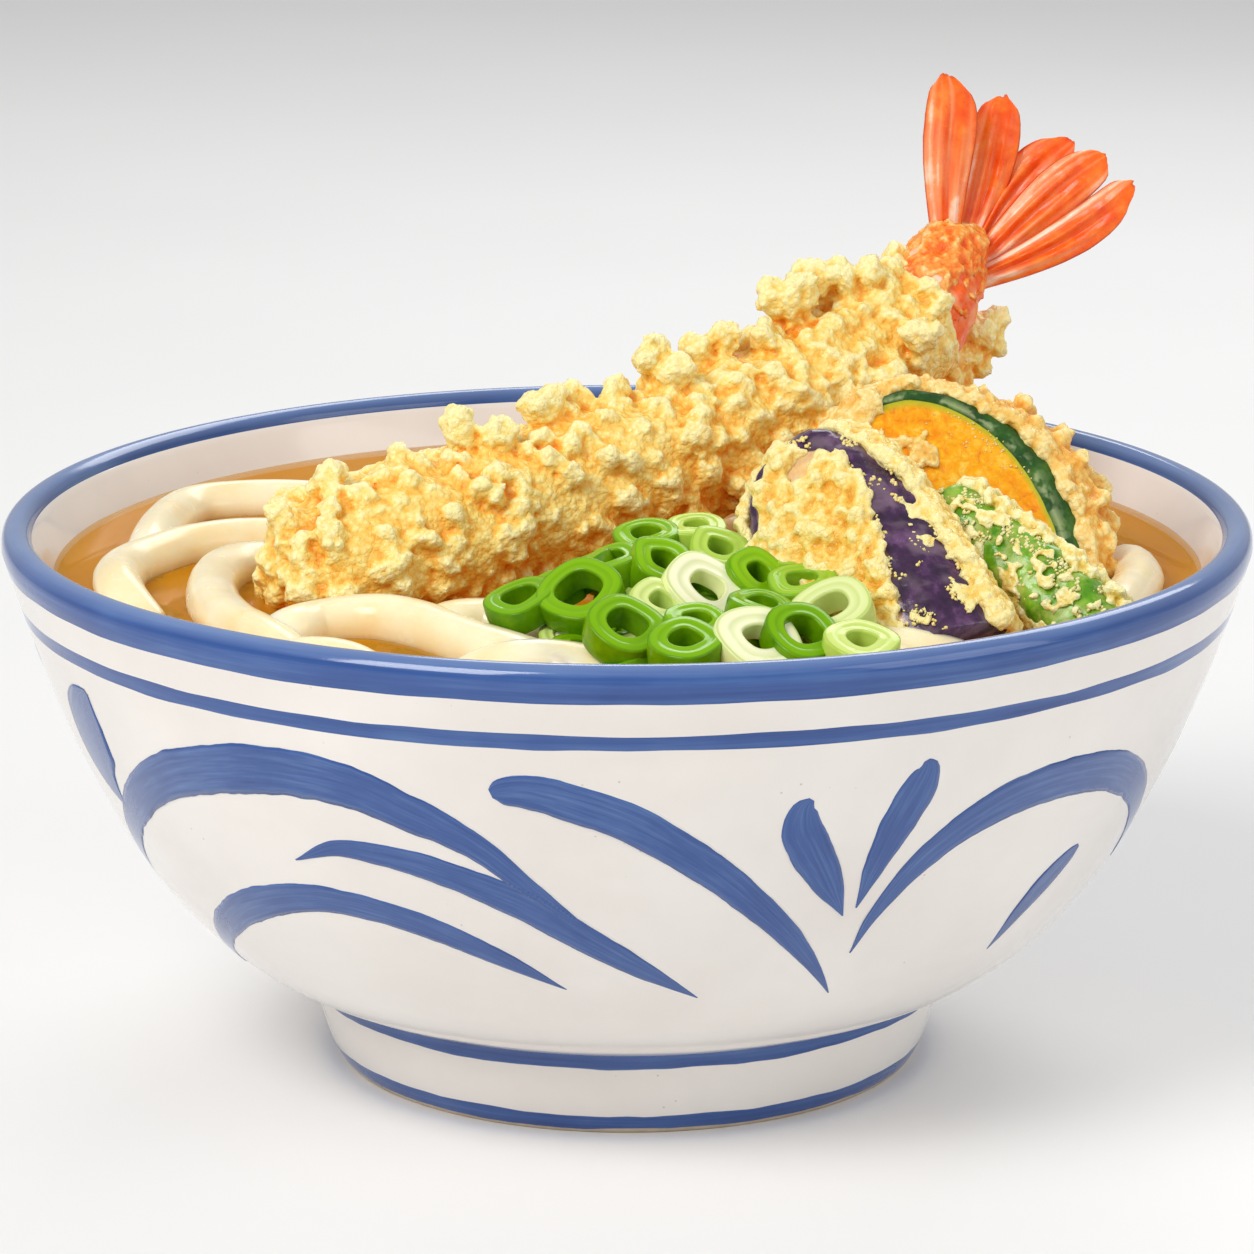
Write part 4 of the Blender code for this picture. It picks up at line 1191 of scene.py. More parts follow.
class Pumpkin:
    """The slice's own axes (right, up, front) and its shape."""
    centre = np.array(PUMPKIN_CENTRE, float)
    right = unit(PUMPKIN_RIGHT)
    up = np.array(PUMPKIN_UP, float)
    up = unit(up - up @ right * right)
    front = np.cross(right, up)
    angles, reaches, flesh = np.array(PUMPKIN_OUTLINE).T

    @classmethod
    def turn(cls, angle):
        """The angle brought into the outline's own range."""
        return (np.asarray(angle, float) - PUMPKIN_FIRST_ANGLE) % 360 + PUMPKIN_FIRST_ANGLE

    @classmethod
    def at(cls, angle, share, back):
        """Point at an angle in degrees, a share of the reach there and a depth behind the face."""
        a = np.radians(angle)
        reach = np.interp(cls.turn(angle), cls.angles, cls.reaches) * share
        return (cls.centre + (reach * np.cos(a))[:, None] * cls.right
                + (reach * np.sin(a))[:, None] * cls.up - np.asarray(back)[:, None] * cls.front)

    @classmethod
    def rind(cls, angle, back, out):
        """Point and normal on the rind, which swells outward behind the face."""
        a = np.radians(angle)
        away = np.cos(a)[:, None] * cls.right + np.sin(a)[:, None] * cls.up
        most = np.interp(cls.turn(angle), [-62, -20, 8, 19, 31, 47, 63, 80, 95, 125],
                         [4.0, 4.6, 6.0, 6.6, 6.0, 5.0, 3.2, 1.4, 1.4, 1.4])
        swell = most * np.interp(back, [0, 1, 3, 6, 9, 11.4], [0, 0.28, 0.62, 0.9, 1.0, 0.85])
        return cls.at(angle, np.ones(len(a)), back) + away * (swell + out)[:, None], away


def pumpkin_material():
    """Tone red is orange flesh to its green border, green is skin, blue the pale line of the edge, broken
    into dashes that are partly a pale line in the rind and partly painted highlight.
    """
    g = Graph("pumpkin_flesh_and_rind")
    border, skin, edge = g.tone()
    fibre = g.noise(620.0, 5.0, 0.7, distortion=0.6)
    cloud = g.noise(110.0, 4.0, 0.6)
    tint = g.math("ADD", g.math("MULTIPLY", fibre, 0.55), g.math("MULTIPLY", cloud, 0.45))
    flesh = g.ramp(tint, (0.36, (0.76, 0.18, 0.0)), (0.46, (0.91, 0.32, 0.0)),
                   (0.56, (0.97, 0.46, 0.004)), (0.67, (0.99, 0.70, 0.12)))
    flesh = g.mix(g.span(border, 0.55, 0.95), flesh, (0.50, 0.50, 0.02))
    rind = g.ramp(g.noise(200.0, 4.0), (0.3, (0.006, 0.040, 0.006)), (0.55, (0.020, 0.095, 0.012)),
                  (0.75, (0.10, 0.22, 0.03)))
    base = g.mix(skin, flesh, rind)
    # Pale dashes on the rind's front band: partly a pale line in the rind, partly painted highlight.
    pale_line_and_glints = g.math("MULTIPLY", edge, g.span(g.noise(420.0, 2.0), 0.46, 0.56))
    base = g.mix(g.math("MULTIPLY", pale_line_and_glints, 0.45), base, (0.66, 0.76, 0.40))
    g.set(colour=base, roughness=g.span(fibre, 0.3, 0.7, 0.24, 0.46))
    g.set(normal=g.bump(fibre, 0.75, 0.40), specular=0.25)
    g.set(subsurface=0.12, radius=(1.0, 0.4, 0.02), scale=0.0015)
    return g.material


def build_pumpkin():
    add_pumpkin_slice()
    material = batter_material("pumpkin_batter", (0.76, 0.26, 0.012), (0.86, 0.42, 0.055),
                               (0.93, 0.60, 0.145), (0.97, 0.78, 0.34))
    add_pumpkin_batter(material)
    places, facing = pumpkin_patch(1100, -30, 125, 0.15, 0.92)
    add_crumbs("pumpkin_face_crumbs", places, facing, layered_noise(places, 4.5, 81) > 0.30, (0.10, 0.24),
               material, "pumpkin_slice")


def add_pumpkin_slice():
    angles = np.linspace(0, 360, 180, endpoint=False)
    level = 0 * angles
    turn = Pumpkin.turn(angles)
    real = np.clip((turn - RIND_FROM) / 4, 0, 1) * np.clip((RIND_TO - turn) / 4, 0, 1)
    flesh = np.interp(turn, Pumpkin.angles, Pumpkin.flesh)
    rings, tones = [], []

    def add_ring(ring, border, skin, edge):
        rings.append(ring)
        tones.append(np.stack([border + level, skin * real, edge * real], axis=1))

    for share in (0.03, 0.18, 0.33, 0.48, 0.62, 0.74, 0.84, 0.92, 0.97, 1.0):
        ring = Pumpkin.at(angles, flesh * share, level)
        pitted = 0.30 * layered_noise(ring, 2.4, 7) + 0.12 * lattice_noise(ring, 0.9, 8)
        dish = 0.5 * bell(share, 0.3, 0.3)
        ring = ring + Pumpkin.front * (pitted * min(1, (1.0 - share) * 12) - dish)[:, None]
        add_ring(ring, np.clip((share - 0.86) / 0.14, 0, 1) * real, 0, 0)
    for extra, through, back, edge in ((0.004, 0.0, -0.05, 0), (0, 0.35, -0.28, 1), (0, 0.75, -0.12, 0.3)):
        reach = flesh + extra + through * (1 - flesh)
        add_ring(Pumpkin.at(angles, reach, level + back), real, 1, edge)
    for back in (0.25, 0.8, 1.8, 3.2, 5.0, 7.5, 10.0, 11.2):
        uneven = 0.2 * lattice_noise(Pumpkin.at(angles, level + 1, level + back), 3, 3)
        points, _ = Pumpkin.rind(angles, level + back, uneven)
        add_ring(points, real, 1, 0)
    for share in (0.95, 0.6, 0.2, 0.03):
        add_ring(Pumpkin.at(angles, level + share, level + PUMPKIN_THICKNESS), 0, 0, 0)
    verts, faces = closed_rings(np.array(rings))
    tone = np.vstack([*tones, tones[0][:1], tones[-1][:1]])
    piece = add_piece("pumpkin_flesh_and_rind", verts, faces, [pumpkin_material()], "pumpkin_slice", tone)
    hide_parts("pumpkin_slice")


def pumpkin_patch(count, low, high, near, far):
    """Places on the cut face between two angles and two shares of the reach, with its direction."""
    angle = random.uniform(low, high, count)
    share = random.uniform(near, far, count)
    return Pumpkin.at(angle, share, np.zeros(count)), np.tile(Pumpkin.front, (count, 1))


def pumpkin_lumps():
    """Places, directions and sizes of the batter's lumps, region by region."""
    angle = random.uniform(-70, 128, 2600)
    back = random.uniform(0.6, PUMPKIN_THICKNESS, 2600)
    points, normal = Pumpkin.rind(angle, back, random.uniform(-0.2, 1.6, 2600))
    strip = np.interp(angle, [-60, -10, 30, 60, 90, 110, 125], [1.4, 1.0, 0.9, 1.2, 1.2, 0.6, 0.0])
    keep = back + 0.7 * layered_noise(points, 4.0, 71) > strip
    yield points[keep], normal[keep], random.uniform(0.7, 1.9, keep.sum())
    knobs = np.array(PUMPKIN_KNOBS)
    yield satellites(*Pumpkin.rind(*knobs[:, :3].T), knobs[:, 3], 7)
    for count, low, high, near, far, sizes in PUMPKIN_PATCHES:
        yield *pumpkin_patch(count, low, high, near, far), random.uniform(*sizes, count)
    angle = random.uniform(0, 360, 700)
    rear = Pumpkin.at(angle, np.sqrt(random.uniform(0, 1, 700)) * 1.1, np.full(700, 11.8))
    yield rear, np.tile(-Pumpkin.front, (700, 1)), random.uniform(0.8, 1.8, 700)
    angle = random.uniform(126, 292, 500)
    sides = Pumpkin.at(angle, np.ones(500), random.uniform(0.5, PUMPKIN_THICKNESS, 500))
    yield sides, unit(sides - Pumpkin.centre), random.uniform(0.8, 1.7, 500)


def add_pumpkin_batter(material):
    points, normal, sizes = (np.concatenate(group) for group in zip(*pumpkin_lumps()))
    parts = florets(points, normal, sizes * 0.75, 9000, 0.40, 0.80)
    verts, faces, normal, fine, broad = crust(parts, 0.52)
    # Painted light and shade: crumbs that stand out and faces turned up are paler, hollows darker and
    # browner; the rest of the browning wavers at random.
    out = 0.50 + 0.14 * fine + 0.07 * broad + 0.06 * normal[:, 2] + 0.14 * lattice_noise(verts, 6, 3)
    browning_and_shade = np.clip(-0.3 * fine - 0.2 + 0.25 * lattice_noise(verts, 8, 4), 0, 1) * 0.6
    add_batter("pumpkin_batter", (verts, faces), (out, browning_and_shade, out), material, "pumpkin_slice")


# ================================================================ green pepper

PEPPER_ROUTE = ((47.8, -33.6, 98.6), (51.5, -37, 96.6), (58, -43.5, 92.3), (64, -49, 88.3),
                (69, -53.5, 84), (71.5, -56, 81))
PEPPER_RADII = (4.4, 6.6)
PEPPER_STEP = 0.5


class Pepper:
    """The pepper's middle line and its radius along it, with a round top end."""
    line = smooth_route(PEPPER_ROUTE, PEPPER_STEP)
    _, side, rise = axes_along(line)
    run = np.arange(len(line)) * PEPPER_STEP
    radius = np.interp(run / run[-1], [0, 1], PEPPER_RADII) * round_end(run / 4.0, 0.01)

    @classmethod
    def places(cls, count, low, high, start=0.0):
        """Random places between two angles: 0 is left and front, 90 the top and 180 the right."""
        last = len(cls.line) - 1
        at = random.integers(int(start * last), last, count)
        a = np.radians(random.uniform(low, high, count))[:, None]
        out = np.cos(a) * cls.side[at] + np.sin(a) * cls.rise[at]
        return cls.line[at] + out * cls.radius[at][:, None], out


def pepper_material():
    g = Graph("pepper_skin")
    stripe = g.noise(170.0, 4.0, 0.6)
    base = g.ramp(stripe, (0.30, (0.030, 0.14, 0.002)), (0.50, (0.11, 0.33, 0.006)),
                  (0.72, (0.34, 0.58, 0.06)))
    film = g.span(g.noise(420.0, 4.0, 0.6), 0.42, 0.66)
    base = g.mix(g.math("MULTIPLY", film, 0.6), base, (0.50, 0.54, 0.12))
    g.set(colour=base, roughness=g.span(film, 0.0, 1.0, 0.14, 0.40))
    g.set(normal=g.bump(g.noise(520.0, 4.0), 0.35, 0.3))
    return g.material


def build_pepper():
    add_pepper_body()
    material = batter_material("pepper_batter", (0.55, 0.36, 0.025), (0.78, 0.53, 0.085),
                               (0.90, 0.72, 0.22), (0.95, 0.88, 0.48))
    add_pepper_batter(material)
    dots, facing = Pepper.places(2200, -30, 120)
    add_crumbs("pepper_crumbs", dots, facing, layered_noise(dots, 2.0, 31) > 0.15, (0.12, 0.36), material,
               "green_pepper")


def add_pepper_body():
    turn = circle(84)
    lobes = 1 + 0.05 * np.cos(3 * turn + 0.4)[None] + 0.02 * np.cos(5 * turn)[None]
    ring = round_directions(turn, Pepper.side, Pepper.rise)
    points = Pepper.line[:, None] + (Pepper.radius[:, None] * lobes)[..., None] * ring
    flat, normal = points.reshape(-1, 3), ring.reshape(-1, 3)
    flat = flat + normal * (0.40 * layered_noise(flat, 3.5, 6))[:, None]
    verts, faces = closed_rings(flat.reshape(points.shape))
    piece = add_piece("pepper_body", verts, faces, [pepper_material()], "green_pepper")
    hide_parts("green_pepper")


def add_pepper_batter(material):
    right, right_normal = Pepper.places(260, 96, 235, 0.10)
    right, right_normal, right_sizes = satellites(right, right_normal, random.uniform(0.9, 1.7, 260), 4)
    under, under_normal = Pepper.places(420, 235, 330, 0.12)
    left, left_normal = Pepper.places(110, -60, -20, 0.30)
    spots, spot_normal = Pepper.places(130, -25, 100, 0.14)
    spots, spot_normal, spot_sizes = satellites(spots, spot_normal, random.uniform(0.40, 0.80, 130), 5)
    centres = np.vstack([right + right_normal * 0.3, under, left, spots])
    normals = np.vstack([right_normal, under_normal, left_normal, spot_normal])
    sizes = np.concatenate([right_sizes, random.uniform(0.8, 1.5, len(under)),
                            random.uniform(0.5, 1.1, len(left)), spot_sizes])
    parts = florets(centres, normals, sizes * 0.75, 5200, 0.30, 0.58)
    verts, faces, normal, fine, broad = crust(parts, 0.42, 0.15)
    # Painted light and shade: crumbs that stand out and faces turned up are paler, hollows darker.
    out = 0.46 + 0.17 * fine + 0.07 * broad + 0.10 * normal[:, 2] + 0.10 * lattice_noise(verts, 3, 5)
    add_batter("pepper_batter", (verts, faces), (out, out * 0, out), material, "green_pepper")


# ================================================================ spring onion

# Rings in sight: place, lean (to the right, to the back), outer radius, hole share, height, paleness
ONION_RINGS = (
    ((-7.0, -59.0, 89.4), (-0.22, -0.60), 6.2, 0.56, 4.4, 0.10),
    ((-15.8, -57.0, 87.8), (-0.30, -0.25), 5.4, 0.50, 4.0, 0.04),
    ((3.2, -38.5, 92.8), (-0.12, -0.20), 5.2, 0.45, 4.6, 0.14),
    ((10.6, -36.5, 93.4), (0.0, -0.15), 5.0, 0.40, 4.6, 0.50),
    ((11.6, -59.0, 90.4), (0.50, -0.62), 6.9, 0.42, 3.2, 1.0),
    ((-0.3, -72.5, 87.4), (0.25, -0.55), 5.9, 0.52, 4.6, 0.08),
    ((8.6, -79.6, 86.6), (0.0, -0.35), 5.3, 0.45, 4.6, 0.08),
    ((19.2, -77.6, 87.0), (0.30, -0.55), 6.5, 0.38, 3.4, 0.95),
    ((30.8, -66.0, 88.6), (-0.30, -0.50), 6.3, 0.45, 4.4, 0.74),
    ((26.6, -57.0, 89.8), (-0.10, -0.22), 5.6, 0.45, 5.0, 0.30),
    ((22.8, -47.0, 91.4), (0.10, -0.15), 5.4, 0.42, 4.8, 0.34),
    ((19.0, -53.5, 90.8), (0.55, -0.75), 4.7, 0.40, 4.8, 0.22),
    ((34.4, -78.0, 86.2), (0.1, -0.30), 5.4, 0.40, 4.4, 0.60),
    ((25.8, -75.5, 87.2), (0.30, -0.55), 5.7, 0.52, 4.4, 0.04),
    ((-2.0, -48.5, 91.2), (-0.30, -0.15), 4.9, 0.45, 4.6, 0.10),
    ((4.8, -49.8, 91.6), (0.40, -0.60), 5.1, 0.42, 5.0, 0.16),
    ((13.8, -44.6, 92.2), (0.25, -0.50), 5.0, 0.42, 5.0, 0.42),
    ((4.6, -64.5, 88.8), (0.40, -0.50), 4.9, 0.40, 4.4, 0.66),
    ((19.8, -66.0, 88.6), (0.20, -0.12), 4.9, 0.45, 4.6, 0.06),
    ((10.2, -70.5, 87.6), (0.10, -0.30), 4.6, 0.45, 4.0, 0.16),
    ((-6.0, -46.0, 90.0), (-0.5, 0.1), 4.6, 0.45, 4.6, 0.08),
    ((-11.0, -50.0, 88.0), (-0.4, -0.1), 4.7, 0.45, 4.2, 0.12),
    ((28.5, -49.0, 89.6), (0.3, -0.1), 4.6, 0.45, 4.0, 0.15),
)


def onion_profile(outer, hole, height):
    """Cross section of a ring's wall: (radius, height) points round it, and which lie on a cut face."""
    wall = outer - hole
    steps = np.array([0, 0.04, 0.14, 0.25, 0.36, 0.46, 0.54, 0.62, 0.70, 0.79, 0.88, 0.96, 1.0])
    layers = 0.07 * np.cos(steps * math.tau * 1.5) - 0.05
    top = np.stack([hole + 0.22 + (wall - 0.44) * steps, height / 2 + layers], axis=1)
    side_heights = (height / 2 - 0.22) * np.array([1, 0.88, 0, -0.88, -1])
    outer_side = np.stack([outer + np.array([0, 0.06, 0.16, 0.06, 0]), side_heights], axis=1)
    inner_side = np.stack([np.full(5, float(hole)), side_heights[::-1]], axis=1)
    cut = np.concatenate([np.ones(len(steps)), np.zeros(5), np.ones(len(steps)), np.zeros(5)])
    return np.vstack([top, outer_side, top[::-1] * np.array([1, -1]), inner_side]), cut


def onion_ring(place, lean, outer, hole_share, height, pale, seed, around=48):
    """One slice of spring onion: a short tube with rounded edges and layers on its cut faces."""
    hole = outer * hole_share
    profile, cut = onion_profile(outer, hole, height)
    share = np.clip((profile[:, 0] - hole) / (outer - hole), 0, 1)
    angles = circle(around)
    oval = 1 + 0.07 * np.cos(2 * angles + seed) + 0.02 * np.cos(3 * angles + 2 * seed)
    x = profile[:, 0][None] * (oval * np.cos(angles))[:, None]
    y = profile[:, 0][None] * ((2 - oval) * np.sin(angles))[:, None]
    z = profile[:, 1][None] + 0.18 * np.sin(2 * angles + seed * 1.7)[:, None]
    normal = unit([lean[0], lean[1], 1.0])
    right = unit(np.cross([0, 1, 0], normal))
    ahead = np.cross(normal, right)
    points = (np.array(place) + x[..., None] * right + y[..., None] * ahead + z[..., None] * normal)
    columns = len(profile)
    first, last = np.arange(columns), (around - 1) * columns + np.arange(columns)
    wrap = np.stack([last, np.roll(last, -1), np.roll(first, -1), first], axis=1)
    tone = np.stack([np.tile(share, (around, 1)), np.full((around, columns), pale),
                     np.tile(cut, (around, 1))], axis=-1)
    return points.reshape(-1, 3), [ring_faces(around, columns), wrap], tone.reshape(-1, 3)


def onion_material():
    """Tone: red is inside to outside, green how pale the ring is, blue marks the cut faces."""
    g = Graph("spring_onion")
    share, pale, cut = g.tone()
    streak = g.noise(260.0, 3.0)
    skin = g.ramp(pale, (0.0, (0.062, 0.20, 0.0)), (0.25, (0.13, 0.33, 0.002)),
                  (0.55, (0.42, 0.62, 0.05)), (1.0, (0.82, 0.87, 0.40)))
    bright = g.ramp(pale, (0.0, (0.24, 0.48, 0.004)), (0.25, (0.34, 0.58, 0.010)),
                    (0.55, (0.62, 0.78, 0.16)), (1.0, (0.90, 0.91, 0.55)))
    skin = g.mix(g.span(streak, 0.35, 0.7, 0.0, 0.55), skin, bright)
    face = g.ramp(pale, (0.0, (0.17, 0.40, 0.001)), (0.25, (0.27, 0.53, 0.006)),
                  (0.55, (0.62, 0.76, 0.18)), (1.0, (0.95, 0.93, 0.68)))
    layered = g.ramp(share, (0.0, (0.62, 0.70, 0.40)), (0.16, (1.0, 1.0, 1.0)),
                     (0.48, (0.82, 0.88, 0.66)), (0.60, (1.0, 1.0, 1.0)),
                     (0.86, (0.92, 0.95, 0.80)), (0.97, (0.50, 0.64, 0.26)))
    face = g.mix(1.0, face, layered, "MULTIPLY")
    base = g.mix(cut, skin, face)
    g.set(colour=base, roughness=g.span(streak, 0.3, 0.7, 0.06, 0.16))
    g.set(normal=g.bump(g.noise(600.0, 3.0), 0.2, 0.15))
    g.set(specular=0.20)
    return g.material


def rings_underneath():
    """Rings at random under those in sight, which close the gaps between them."""
    for seed in range(60, 90):
        angle, reach = random.uniform(0, math.tau), math.sqrt(random.uniform(0, 1))
        x, y = 8 + 23 * reach * math.cos(angle), -60 + 19 * reach * math.sin(angle)
        z = 84.6 + 0.15 * (y + 60) - 0.006 * (x - 8) ** 2
        lean, outer = random.normal(0, 0.35, 2), random.uniform(3.8, 5.2)
        height, pale = random.uniform(3.2, 4.4), random.choice([0.05, 0.12, 0.3, 0.6])
        yield onion_ring((x, y, z), lean, outer, 0.45, height, pale, seed, 28)


def build_onion():
    rings = [onion_ring(*row, seed) for seed, row in enumerate(ONION_RINGS)]
    rings += rings_underneath()
    verts, faces = joined(rings)
    piece = add_piece("spring_onion_rings", verts, faces, [onion_material()], "spring_onion_heap",
                      np.vstack([ring_tone for _, _, ring_tone in rings]))
    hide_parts("spring_onion_heap")


# ================================================================ noodles

NOODLE_RADIUS = 4.0
# Unseen noodles are laid a little closer than they are thick, so that they touch
LAID_RADIUS = 3.7
MOUND_NOODLE_RADIUS = 3.8
# Noodles that break the surface, the CAD's own routes
NOODLE_ROUTES = (
    ((-78, -6, 77), (-77, 4, 81.5), (-76, 18, 82), (-73, 30, 82), (-66, 35, 82), (-56, 36, 82),
     (-46, 34, 81.5), (-37, 31, 80), (-30, 27, 76)),
    ((-73, -35, 76), (-79, -26, 81.5), (-80, -13, 82), (-76, -4, 82), (-71, 3, 82), (-63, 8, 82),
     (-55, 9, 81.5), (-47, 6, 80), (-40, 3, 76)),
    ((-46, -3, 76), (-55, -6, 81), (-62, -10, 82), (-65, -20, 82), (-64, -34, 82), (-60, -47, 82),
     (-53, -58, 81), (-48, -66, 77)),
    ((-59, -54, 77), (-52, -53, 82), (-47, -48, 82.5), (-39, -47, 83), (-32, -51, 83),
     (-24, -60, 82.5), (-16, -67, 82), (-7, -72, 80), (2, -75, 76)),
    ((-34, -45, 77), (-28, -49, 82), (-21, -48, 82.5), (-13, -53, 82), (-7, -61, 81), (0, -66, 77)),
    ((-27, -70, 77), (-19, -70, 81), (-10, -70, 81.5), (-1, -74, 80), (8, -78, 76)),
    ((24, -60, 77), (31, -61, 81.5), (38, -64, 82.5), (45, -66, 82), (50, -64, 80), (53, -60, 76)),
    ((66, -46, 77), (74, -39, 81), (79, -26, 82), (81, -16, 82), (80, -6, 81), (77, 4, 77)),
    ((-55, -58, 76), (-49, -64, 80.5), (-41, -67, 80.5), (-34, -69, 76)),
)
MOUND_PLACE = np.array([26.0, 12.0])
MOUND_HEIGHT = 17.0
MOUND_WIDTH = 15.0
# How high the unseen noodles may reach away from the mound
BED_TOP = 75.2
WANDER_STEP = 1.5


def mound(x, y):
    """How far the noodles rise over the broth: they carry the prawn."""
    away = (x - MOUND_PLACE[0]) ** 2 + (y - MOUND_PLACE[1]) ** 2
    return MOUND_HEIGHT * np.exp(-away / (2 * MOUND_WIDTH ** 2))


class Bed:
    """A height field that noodles are laid on one after another, so that they cross and don't merge."""
    step = 1.0
    count = 201
    line = np.linspace(-100, 100, count)
    x, y = np.meshgrid(line, line, indexing="ij")
    radius = np.hypot(x, y)
    height = np.where(radius < 88, 64.0 - 0.0016 * radius ** 2, 30.0) + 0.55 * mound(x, y)
    # Cells on each side that a noodle covers
    reach = 5
    dx, dy = np.meshgrid(np.arange(-reach, reach + 1), np.arange(-reach, reach + 1), indexing="ij")

    @classmethod
    def cap(cls, radius):
        """Height of a ball's upper half over the cells round its middle."""
        gap = radius ** 2 - (cls.dx ** 2 + cls.dy ** 2) * cls.step ** 2
        return np.where(gap > 0, np.sqrt(np.maximum(gap, 0)), -1e3)

    @classmethod
    def cell(cls, place):
        """Row and column of the cell at each place, kept away from the border."""
        nearest = np.round((np.asarray(place) + 100) / cls.step).astype(int)
        return np.clip(nearest, cls.reach, cls.count - 1 - cls.reach)

    @classmethod
    def block(cls, i, j):
        return slice(i - cls.reach, i + cls.reach + 1), slice(j - cls.reach, j + cls.reach + 1)

    @classmethod
    def rest(cls, places, radius):
        """Height at which a round noodle lies on what is already there, along its route."""
        cap = cls.cap(radius)
        z = np.array([(cls.height[cls.block(i, j)] + cap).max() for i, j in cls.cell(places)])
        wide = np.array([z[max(0, k - 3):k + 4].max() for k in range(len(z))])
        for _ in range(12):
            wide = np.convolve(np.pad(wide, 1, mode="edge"), [0.25, 0.5, 0.25], "valid")
        return wide

    @classmethod
    def press(cls, route, radius):
        """Lays a noodle down: the height field rises to its upper side."""
        cap = cls.cap(radius)
        for (i, j), z in zip(cls.cell(route[:, :2]), route[:, 2]):
            block = cls.block(i, j)
            cls.height[block] = np.maximum(cls.height[block], cap + z)


def wander(start, heading, length, bend, limit):
    """A flat route that curls gently and turns back before the limit radius."""
    def next_place():
        return places[-1] + WANDER_STEP * np.array([math.cos(heading), math.sin(heading)])

    places = [np.array(start, float)]
    for k in range(int(length / WANDER_STEP)):
        heading += bend * (1 + 0.8 * math.sin(k * 0.09))
        ahead = next_place()
        if np.hypot(*ahead) > limit:
            inward = math.atan2(-ahead[1], -ahead[0])
            turn = (inward - heading + math.pi) % math.tau - math.pi
            heading += 0.22 * np.sign(turn)
            ahead = next_place()
            if np.hypot(*ahead) > limit + 2.5:
                break
        places.append(ahead)
    return np.array(places)


def random_noodle(middle, spread, lengths, bend, limit):
    """A wandering flat route that starts at random round a middle."""
    angle, reach = random.uniform(0, math.tau), spread * math.sqrt(random.uniform(0, 1))
    start = middle + np.array([reach * math.cos(angle), reach * math.sin(angle)])
    return wander(start, random.uniform(0, math.tau), random.uniform(*lengths),
                  random.normal(0, bend), limit)


def laid_noodles():
    """Noodles under the surface, and those heaped under the prawn."""
    routes = []

    def lay(flat, radius, allowed, least):
        z = Bed.rest(flat, radius)
        if len(flat) >= least and np.all(z < allowed):
            route = np.column_stack([flat, z])
            Bed.press(route, radius)
            routes.append(route)

    for _ in range(150):
        flat = random_noodle(np.zeros(2), 80, (60, 130), 0.035, 82)
        rise = mound(flat[:, 0], flat[:, 1])
        lay(flat, LAID_RADIUS, BED_TOP + np.where(rise > 2.5, rise - 1.5, 0), 20)
    for _ in range(260):
        flat = random_noodle(MOUND_PLACE, 24, (35, 80), 0.06, 80)
        rise = mound(flat[:, 0], flat[:, 1])
        lay(flat, MOUND_NOODLE_RADIUS, BED_TOP + np.maximum(rise - 0.5, 0) + 1.0, 17)
    return routes


def noodle_tube(route, radius, seed):
    """A soft tube with round ends, its thickness a little uneven."""
    _, side, rise = axes_along(route)
    run = run_along(route)
    left = np.minimum(run, run[-1] - run)
    end = round_end(left / radius, 0.02)
    swell = 1 + 0.05 * lattice_noise(np.stack([run, run * 0 + seed * 9, run * 0], 1), 14, 2)
    angles = circle(20)
    square = 1 + 0.035 * np.cos(4 * angles + seed)
    ring = round_directions(angles, side, 0.97 * rise) * square[None, :, None]
    return closed_rings(route[:, None] + (radius * end * swell)[:, None, None] * ring)


def noodle_material():
    """Tone red is how deep under the broth's surface a place lies: the deeper, the more amber."""
    g = Graph("udon_noodle")
    deep, _, _ = g.tone()
    cloud = g.noise(110.0, 4.0, 0.55)
    base = g.ramp(cloud, (0.3, (0.92, 0.74, 0.40)), (0.52, (0.96, 0.83, 0.54)),
                  (0.78, (0.97, 0.90, 0.68)))
    amber = g.ramp(cloud, (0.3, (0.58, 0.205, 0.006)), (0.7, (0.76, 0.36, 0.025)))
    base = g.mix(deep, base, amber)
    g.set(colour=base, roughness=g.uneven(300.0, 2.0, 0.16, 0.28))
    g.set(normal=g.bump(g.noise(380.0, 3.0), 0.12, 0.2))
    g.set(subsurface=0.30, radius=(1.0, 0.6, 0.25), scale=0.0025)
    return g.material


def depth_tone(verts):
    deep = np.clip((BROTH_LEVEL + 0.3 - verts[:, 2]) / 10.0, 0, 1)
    return np.stack([deep, deep, deep], axis=1)


def build_noodles():
    material = noodle_material()

    def add_noodles(name, mesh):
        return add_piece(name, *mesh, [material], "noodle_heap", depth_tone(mesh[0]))

    visible = [smooth_route(places, 1.0) for places in NOODLE_ROUTES]
    below = [smooth_route(route[::3], 1.6) for route in laid_noodles()]
    for route in visible:
        Bed.press(route, NOODLE_RADIUS)
    piece = add_noodles("noodles_on_top", joined([noodle_tube(route, NOODLE_RADIUS, k)
                                                  for k, route in enumerate(visible)]))
    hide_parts("noodle_heap")
    add_noodles("noodles_below", joined([noodle_tube(route, LAID_RADIUS, 50 + k)
                                         for k, route in enumerate(below)]))
    add_noodles("noodle_core", noodle_core())


def noodle_core():
    """A plain body that fills the bowl under the lowest noodles, out of sight."""
    angles = circle(96)
    rings = [level_ring(inner_radius(height) - 1.5, angles, height)
             for height in (18.0, 24.0, 32.0, 44.0, 56.0, 62.0)]
    for share in (0.97, 0.85, 0.7, 0.55, 0.4, 0.25, 0.1):
        ring = level_ring(84 * share, angles, 65.0)
        ring[:, 2] += 0.55 * mound(ring[:, 0], ring[:, 1])
        ring[:, 2] += 1.2 * lattice_noise(ring, 5, 4)
        rings.append(ring)
    return closed_rings(np.array(rings))


# ================================================================ broth

